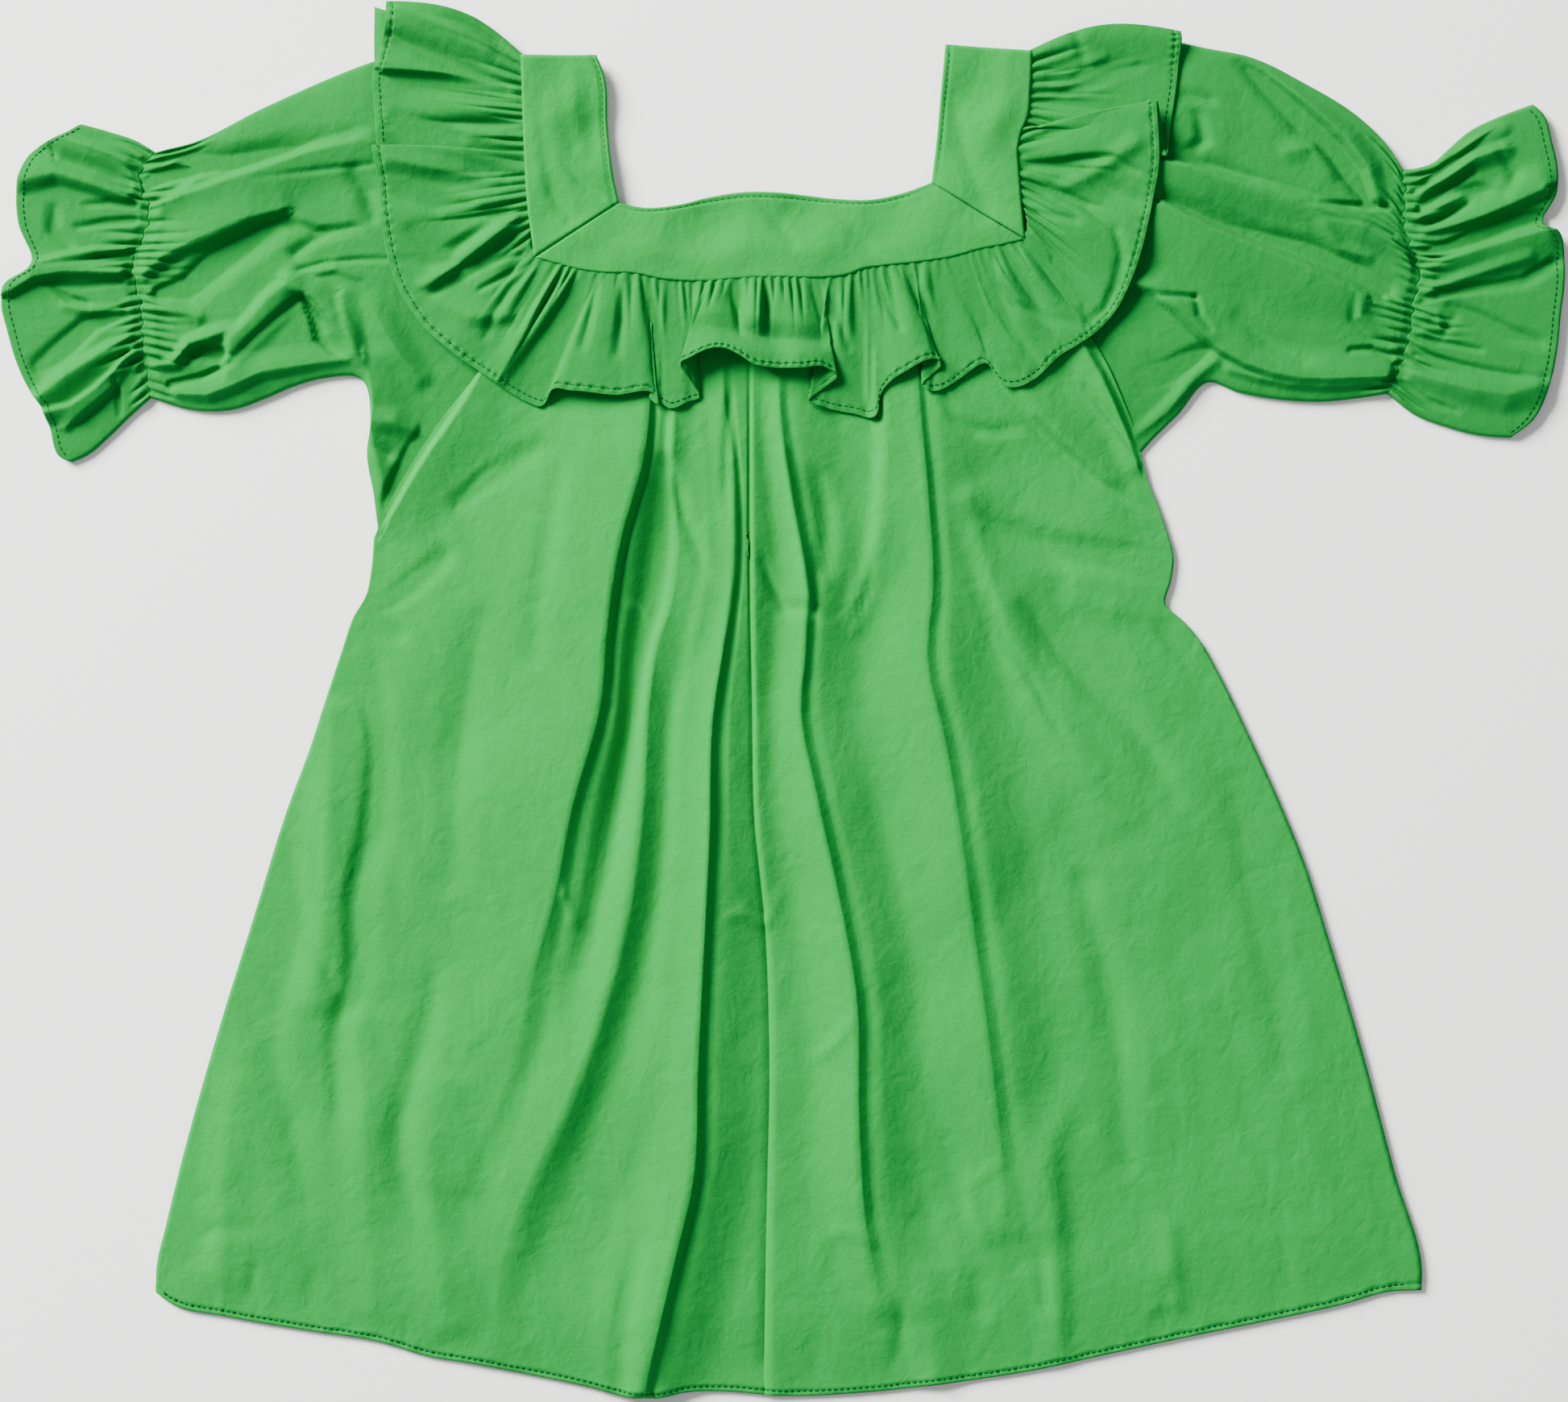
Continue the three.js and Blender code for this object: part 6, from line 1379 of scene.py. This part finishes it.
# %% The front ruffle
RUFFLE_COLUMNS = 1060
RUFFLE_STITCH, RUFFLE_STITCH_WIDTH = 0.955, 0.009  # shares of the way from seam to hem
RUFFLE_CLEARANCE, CLEARANCE_BLEND = 1.0, 0.8  # mm over what is below, and square mm that soften the meeting
RUFFLE_RELIEF = 1.9  # what the table of folds is multiplied by
SEAM_PUCKER = (2.6, 0.65, 1.85)  # height, power and depth of its puckers
SMALL_RISE, FLUTE_RISE, WIDE_RISE = 1.6, 2.8, 2.0  # mm
HEM_PER_SEAM, CUT_PER_SEAM = 1.45, 1.7  # the hem's length and the flat strip's, over the seam's
RUFFLE_DEPTH = 66.0  # mm of cloth from seam to hem


def ruffle_gather(at, v):
    """Puckers 4.8 mm apart that wander and end unevenly, and pass into wider flutes further out."""
    t = at / SEAM_LENGTH
    small_turns = GATHER_COUNT * (t - waves(t, (0.0032, 57, 0), (0.0012, 151, 0)))
    small_turns = small_turns + 0.25 * v * np.sin(at / 6)
    reach = 0.46 + waves(at, (0.22, 1 / 3.3, 0), (0.16, 1 / 8.1, 0))
    pull = 0.75 + waves(at, (0.28, 1 / 2.3, 1), (0.22, 1 / 5.7, 0))
    small = pull * puckers(small_turns, *SEAM_PUCKER)
    small = small * (1 - eased(v / reach)) * mixed(0.6, 1, eased(v / 0.1))
    flute_turns = FLUTE_COUNT * (t - waves(t, (0.006, 37, 1), (0.003, 83, 0)))
    flute_turns = flute_turns + 0.3 * v * np.sin(at / 9)
    flutes = (0.6 + waves(at, (0.4, 1 / 6.7, 2))) * puckers(flute_turns, *SEAM_PUCKER)
    flutes = flutes * eased(v / 0.25) * (1 - eased((v - 0.3) / 0.55))
    wide = 0.6 * np.sin(at / 3.6 + 0.9 * np.sin(at / 9)) + 0.5 * np.sin(at / 5.9 + 2)
    wide = wide * eased(v / 0.4) * (1 - 0.45 * eased((v - 0.5) / 0.5))
    return SMALL_RISE * small + FLUTE_RISE * flutes + WIDE_RISE * wide


def ruffle_plan(at, v):
    """Share v of the way from the seam to the hem row, moved sideways by the row's bow."""
    seam = yoke_seam(at / SEAM_LENGTH)
    hem = ruffle_hem(at)
    way = hem[..., :2] - seam
    length = np.linalg.norm(way, axis=-1)
    out = mixed(-RUFFLE_TUCK / length, 1, v)
    side = np.where(seam[..., 0] < 0, 1, -1)
    bulge = hem[..., 3] * np.sin(np.pi * v) * side / length
    plan = mixed(seam, hem[..., :2], out[..., None])
    plan = plan + np.stack([way[..., 1] * bulge, -way[..., 0] * bulge], axis=-1)
    return plan, hem[..., 2]


def ruffle_surface(at, v, under):
    """Height goes evenly to the hem's, with gathers and folds, and stays clear of what is under it."""
    plan, hem_height = ruffle_plan(at, v)
    x, y = plan[..., 0], plan[..., 1]
    z = mixed(RUFFLE_SEAM_TOP, hem_height + CLOTH, v) + ruffle_gather(at, v)
    z = z + RUFFLE_RELIEF * folds_at(RUFFLE_FOLDS, x, y) * eased(v / 0.12)
    z = z + turned_hem(at * HEM_PER_SEAM, v, RUFFLE_STITCH, RUFFLE_STITCH_WIDTH)
    floor = read_map(under, x, y) + RUFFLE_CLEARANCE
    over = z - floor
    z = floor + 0.5 * (over + np.sqrt(over ** 2 + CLEARANCE_BLEND))
    return add_height(plan, z)


UNDER_Y, UNDER_X = 60.0, 260.0  # mm: what the ruffle can lie on is above this y and within this x
below = [
    front_grid[front_grid[..., 1] > UNDER_Y],
    left_sleeve_grid[left_sleeve_grid[..., 0] > -UNDER_X],
    right_sleeve_grid[right_sleeve_grid[..., 0] < UNDER_X],
]
under_ruffle = highest_of(below)
ruffle_rows = two_paces(0.92, 34, 11)
ruffle_at, ruffle_v = np.meshgrid(np.linspace(0, SEAM_LENGTH, RUFFLE_COLUMNS), ruffle_rows, indexing="ij")
ruffle_grid = ruffle_surface(ruffle_at, ruffle_v, under_ruffle)[::-1]
ruffle_cut = np.stack([ruffle_at[::-1] * CUT_PER_SEAM, ruffle_v * RUFFLE_DEPTH], axis=-1)
ruffle = thick(surface("front_ruffle_cloth", ruffle_grid, ruffle_cut), SOFT_CLOTH)
sewn(ruffle, "front_ruffle")
print("ruffle area", round(area_of(ruffle_grid), 4), "square metres of cloth")

# %% The ruffle behind
BACK_RUFFLE_HEM = [
    (-203, 345), (-203, 318), (-196, 270), (-190, 215), (-165, 176), (-125, 150), (-60, 145), (0, 143),
    (60, 148), (115, 160), (158, 190), (178, 230), (183, 270), (190, 322),
]
BACK_RUFFLE_TOP, BACK_GATHER_RISE, BACK_GATHERS = 0.85, 0.1, 46  # mm, mm and their number
bu, bv = np.meshgrid(np.linspace(0, 1, 240), np.linspace(0, 1, 14), indexing="ij")
back_ruffle_plan = mixed(yoke_seam(bu), curve_through(BACK_RUFFLE_HEM)(bu), bv[..., None])
back_ruffle_z = BACK_RUFFLE_TOP + BACK_GATHER_RISE * np.cos(bu * 2 * np.pi * BACK_GATHERS) * (1 - bv)
back_ruffle_grid = add_height(back_ruffle_plan, back_ruffle_z)[::-1]
back_ruffle = thick(surface("back_ruffle_cloth", back_ruffle_grid, back_ruffle_plan[::-1]), SOFT_CLOTH)
sewn(back_ruffle, "back_ruffle")

# %% [markdown]
# ## Thread
# The hems are turned and sewn with green thread, whose colour is painted darker than the cloth's for the
# shade that the stitches sink into. Each stitch is a small flat bar with narrow ends that sinks a little
# into the cloth, every 3.1 mm, a short way inside the edge. A row of thinner thread runs along the neck
# edge.

# %% Stitches
STITCH_PITCH, STITCH_LENGTH, STITCH_RISE = 3.1, 2.2, 0.16  # mm
THREAD, HEM_THREAD, NECK_THREAD = 0.36, 0.75, 0.3  # mm: half a bar's width
FLATNESS = 0.6  # a bar's thickness over its width
BAR = [(0.0, 0.15), (0.12, 0.8), (0.5, 1.0), (0.88, 0.8), (1.0, 0.15)]  # (share of length, share of width)
RING = 6  # points in each of a bar's sections
TINY = 1e-9  # mm: keeps the length of an arrow above 0
THREADS = []


def bar_faces(count):
    """Quads between the sections of each bar, and one face with RING corners at either end."""
    i, j = np.meshgrid(np.arange(len(BAR) - 1) * RING, np.arange(RING), indexing="ij")
    k = (j + 1) % RING
    quads = np.stack([i + j, i + RING + j, i + RING + k, i + k], axis=-1).reshape(-1, 4)
    caps = np.array([np.arange(RING)[::-1], np.arange(RING) + RING * (len(BAR) - 1)])
    first = RING * len(BAR) * np.arange(count)[:, None, None]
    sides, ends = (quads[None] + first).reshape(-1, 4), (caps[None] + first).reshape(-1, RING)
    return sides[:, ::-1].tolist() + ends[:, ::-1].tolist()


def stitches(name, line, thread=THREAD):
    """Bars on a line of points: rings across the line's direction, which are small at both tips."""
    line = np.asarray(line, float)
    steps = np.linalg.norm(np.diff(line, axis=0), axis=1)
    run = np.concatenate([[0], np.cumsum(steps)])
    count = int(run[-1] / STITCH_PITCH)
    middle = (np.arange(count) + 0.5) * STITCH_PITCH
    start, end = [
        np.stack([np.interp(middle + half, run, line[:, k]) for k in range(3)], axis=-1)
        for half in (-STITCH_LENGTH / 2, STITCH_LENGTH / 2)
    ]
    along = end - start
    across = np.stack([-along[:, 1], along[:, 0], np.zeros(count)], axis=-1)
    across /= np.linalg.norm(across, axis=1, keepdims=True) + TINY
    up = np.cross(along / (np.linalg.norm(along, axis=1, keepdims=True) + TINY), across)
    shares, sizes = np.array(BAR).T
    turn = np.arange(RING) * 2 * np.pi / RING
    centre = start[:, None] + along[:, None] * shares[None, :, None] + up[:, None] * STITCH_RISE
    sideways, upwards = np.cos(turn)[None, :, None], FLATNESS * np.sin(turn)[None, :, None]
    ring = across[:, None] * sideways + up[:, None] * upwards
    points = centre[:, :, None] + ring[:, None] * (sizes * thread)[None, :, None, None]
    mesh = bpy.data.meshes.new(name)
    mesh.from_pydata((points.reshape(-1, 3) * MM).tolist(), [], bar_faces(count))
    mesh.polygons.foreach_set("use_smooth", np.ones(len(mesh.polygons), dtype=bool))
    piece = placed(name, mesh)
    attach(piece, "root")
    THREADS.append(piece)
    print(name, count, "stitches")


def neck_line(outer, neck):
    """Points on a front band's top, TOPSTITCH inside its neck edge."""
    at = np.linspace(0.02, 0.98, 300)
    edge = curve_through(neck)(at)
    way = curve_through(outer)(at) - edge
    plan = edge + way * (TOPSTITCH / np.linalg.norm(way, axis=-1))[:, None]
    return add_height(plan, FRONT_YOKE_BASE + YOKE_WALL - GROOVE + yoke_wave(plan[:, 0], plan[:, 1]))


stitches("neck_stitches_left", neck_line(LEFT_STRAP_SEAM, NECK_LEFT), NECK_THREAD)
stitches("neck_stitches_front", neck_line(BAND_SEAM, NECK_FRONT), NECK_THREAD)
stitches("neck_stitches_right", neck_line(RIGHT_STRAP_SEAM, NECK_RIGHT), NECK_THREAD)
stitches("hem_stitches", front_grid[np.argmin(np.abs(front_rows - HEM_STITCH)), 2:-2], HEM_THREAD)
along_ruffle = np.linspace(1, SEAM_LENGTH - 1, 1500)
stitch_share = np.full(along_ruffle.shape, RUFFLE_STITCH)
stitches("ruffle_stitches", ruffle_surface(along_ruffle, stitch_share, under_ruffle))
for name, grid in (("left_frill_stitches", left_frill_grid), ("right_frill_stitches", right_frill_grid)):
    stitches(name, grid[-4, 4 : TUBE_COLUMNS - 4])

# %% [markdown]
# ## The cloth's finish
# Poplin is a fine plain weave, matt, with a faint sheen at low angles. One shader group makes
# the weave's tiny relief from the cut's own UV map, another the soft wrinkles and the slight
# unevenness of the dye; the cloth's material and the thread's use them with their own values.

# %% Shader groups
FULL_TURN = 6.2832  # radians
WEFT_THREADS = 0.6  # for each thread of the warp


def socket(group, name, kind, into, value=None):
    """One named input or output of a group."""
    item = group.interface.new_socket(name, in_out="INPUT" if into else "OUTPUT", socket_type=kind)
    if value is not None:
        item.default_value = value


def node(tree, kind, x, y, **settings):
    """A node at a place in the tree, with its settings."""
    made = tree.nodes.new(kind)
    made.location = (x, y)
    for key, value in settings.items():
        setattr(made, key, value)
    return made


def fill(made, values):
    """Values for the inputs of a node, each a link or a value."""
    for key, value in values.items():
        if isinstance(value, bpy.types.NodeSocket):
            made.id_data.links.new(value, made.inputs[key])
        else:
            made.inputs[key].default_value = value
    return made


def sum_node(tree, operation, a, b, x, y):
    """A math node of two inputs, each a link or a number."""
    return fill(node(tree, "ShaderNodeMath", x, y, operation=operation), {0: a, 1: b}).outputs[0]


def weave_group():
    """Height = half of the warp's sine times the weft's sine, plus a half; the weft has fewer threads."""
    group = bpy.data.node_groups.new("poplin weave", "ShaderNodeTree")
    socket(group, "Cut", "NodeSocketVector", True)
    socket(group, "Threads per metre", "NodeSocketFloat", True, 3200.0)
    socket(group, "Height", "NodeSocketFloat", False)
    start, end = node(group, "NodeGroupInput", -900, 0), node(group, "NodeGroupOutput", 300, 0)
    parts = fill(node(group, "ShaderNodeSeparateXYZ", -700, 0), {0: start.outputs["Cut"]})
    turns = sum_node(group, "MULTIPLY", start.outputs["Threads per metre"], FULL_TURN, -700, -160)
    half = sum_node(group, "MULTIPLY", turns, WEFT_THREADS, -500, -260)
    sines = []
    for axis, rate, y in (("X", turns, 80), ("Y", half, -80)):
        angle = sum_node(group, "MULTIPLY", parts.outputs[axis], rate, -500, y)
        sines.append(sum_node(group, "SINE", angle, 0.0, -320, y))
    crossing = sum_node(group, "MULTIPLY", *sines, -140, 0)
    fill(end, {"Height": sum_node(group, "MULTIPLY_ADD", crossing, 0.5, 60, 0)})
    return group


def crumple_group():
    """Height from two noises, and a mask for the dye: half slow change, half the grain of the threads."""
    group = bpy.data.node_groups.new("soft crumple", "ShaderNodeTree")
    socket(group, "Place", "NodeSocketVector", True)
    socket(group, "Wrinkles per metre", "NodeSocketFloat", True, 60.0)
    socket(group, "Height", "NodeSocketFloat", False)
    socket(group, "Dye", "NodeSocketFloat", False)
    start, end = node(group, "NodeGroupInput", -900, 0), node(group, "NodeGroupOutput", 400, 0)
    place, rate = start.outputs["Place"], start.outputs["Wrinkles per metre"]

    def noise(y, values):
        return fill(node(group, "ShaderNodeTexNoise", -480, y), values).outputs["Fac"]

    stretched = node(group, "ShaderNodeMapping", -700, 120)
    fill(stretched, {"Scale": (1.0, 0.8, 1.0), "Vector": place})
    broad = noise(160, {
        "Detail": 2.0, "Roughness": 0.55, "Distortion": 0.4, "Vector": stretched.outputs[0], "Scale": rate,
    })
    fine_rate = sum_node(group, "MULTIPLY", rate, 3.1, -680, -160)
    fine = noise(-120, {"Detail": 3.0, "Distortion": 1.2, "Vector": place, "Scale": fine_rate})
    small = sum_node(group, "MULTIPLY", fine, 0.25, -260, -120)
    dye = noise(-400, {"Scale": 9.0, "Detail": 3.0, "Vector": place})
    grain = noise(-640, {"Scale": 850.0, "Detail": 2.0, "Vector": place})
    both = sum_node(group, "ADD", dye, grain, -260, -520)
    height = sum_node(group, "ADD", broad, small, -80, 60)
    fill(end, {"Height": height, "Dye": sum_node(group, "MULTIPLY", both, 0.5, -80, -520)})
    return group


WEAVE, CRUMPLE = weave_group(), crumple_group()


# %% Materials
def cotton(name, colour, shade, wrinkle_height, wrinkles=60.0, weave_height=0.00004):
    """Base colour mixed by the dye mask; relief of wrinkles and then of the weave; matt with sheen."""
    material = bpy.data.materials.new(name)
    material.use_nodes = True
    tree = material.node_tree
    place = node(tree, "ShaderNodeTexCoord", -1100, 0).outputs["Object"]
    cut = node(tree, "ShaderNodeUVMap", -1100, -300, uv_map="Cut").outputs[0]
    crumple = node(tree, "ShaderNodeGroup", -800, 100, node_tree=CRUMPLE)
    fill(crumple, {"Wrinkles per metre": wrinkles, "Place": place})
    weave = fill(node(tree, "ShaderNodeGroup", -800, -200, node_tree=WEAVE), {"Cut": cut})
    tone = fill(node(tree, "ShaderNodeMix", -500, 250, data_type="RGBA"), {
        "A": (*[c * (1 - shade) for c in colour], 1), "B": (*[min(1, c * (1 + shade)) for c in colour], 1),
        "Factor": crumple.outputs["Dye"],
    })
    soft = fill(node(tree, "ShaderNodeBump", -500, -60), {
        "Strength": 1.0, "Distance": wrinkle_height, "Height": crumple.outputs["Height"],
    })
    fine = fill(node(tree, "ShaderNodeBump", -280, -200), {
        "Strength": 0.7, "Distance": weave_height, "Height": weave.outputs["Height"],
        "Normal": soft.outputs["Normal"],
    })
    fill(tree.nodes["Principled BSDF"], {
        "Base Color": tone.outputs["Result"], "Normal": fine.outputs["Normal"], "Roughness": 0.9,
        "Specular IOR Level": 0.08, "Sheen Weight": 0.03, "Sheen Roughness": 0.45,
        "Sheen Tint": (0.3, 1.0, 0.4, 1),
    })
    return material


GREEN = (0.006, 0.236, 0.034)
# painted shade: the thread's own green, made darker than the cloth's for the shade of stitches sunk into it
SHADED_THREAD_GREEN = (0.002, 0.085, 0.014)
PAINTED_SHADE_SHARE = 0.77  # painted shade: sleeves, frills and ruffle are darkened by this share for the shade of their many folds, and in part as cloth cut across the grain
PAINTED_SHADE_GREEN = tuple(PAINTED_SHADE_SHARE * c for c in GREEN)
DYE, THREAD_DYE = 0.10, 0.05  # shares by which the dye is uneven
WRINKLE, FINE_WRINKLE, THREAD_WRINKLE = 0.0011, 0.0007, 0.0001  # m
body_cotton = cotton("green cotton", GREEN, DYE, WRINKLE)
# painted shade: sleeves, frills and ruffle take the darkened green
sleeve_cotton = cotton("green cotton with painted shade", PAINTED_SHADE_GREEN, DYE, WRINKLE)
ruffle_cotton = cotton("green cotton of the ruffle with painted shade", PAINTED_SHADE_GREEN, DYE, FINE_WRINKLE, wrinkles=90.0)
thread_cotton = cotton("green thread", SHADED_THREAD_GREEN, THREAD_DYE, THREAD_WRINKLE, weave_height=0.0)
COTTON_OF = {"ruffle": ruffle_cotton, "frill": ruffle_cotton, "sleeve": sleeve_cotton}

for piece in PIECES:
    piece.data.materials.clear()
    found = [cloth for word, cloth in COTTON_OF.items() if word in piece.name]
    piece.data.materials.append(found[0] if found else body_cotton)
for piece in THREADS:
    piece.data.materials.append(thread_cotton)

table_paint = bpy.data.materials.new("pale table")
table_paint.use_nodes = True
fill(table_paint.node_tree.nodes["Principled BSDF"], {
    "Base Color": (0.96, 0.96, 0.96, 1), "Roughness": 0.9, "Specular IOR Level": 0.1,
})
table.data.materials.append(table_paint)
print("pieces:", len(PIECES), "threads:", len(THREADS))
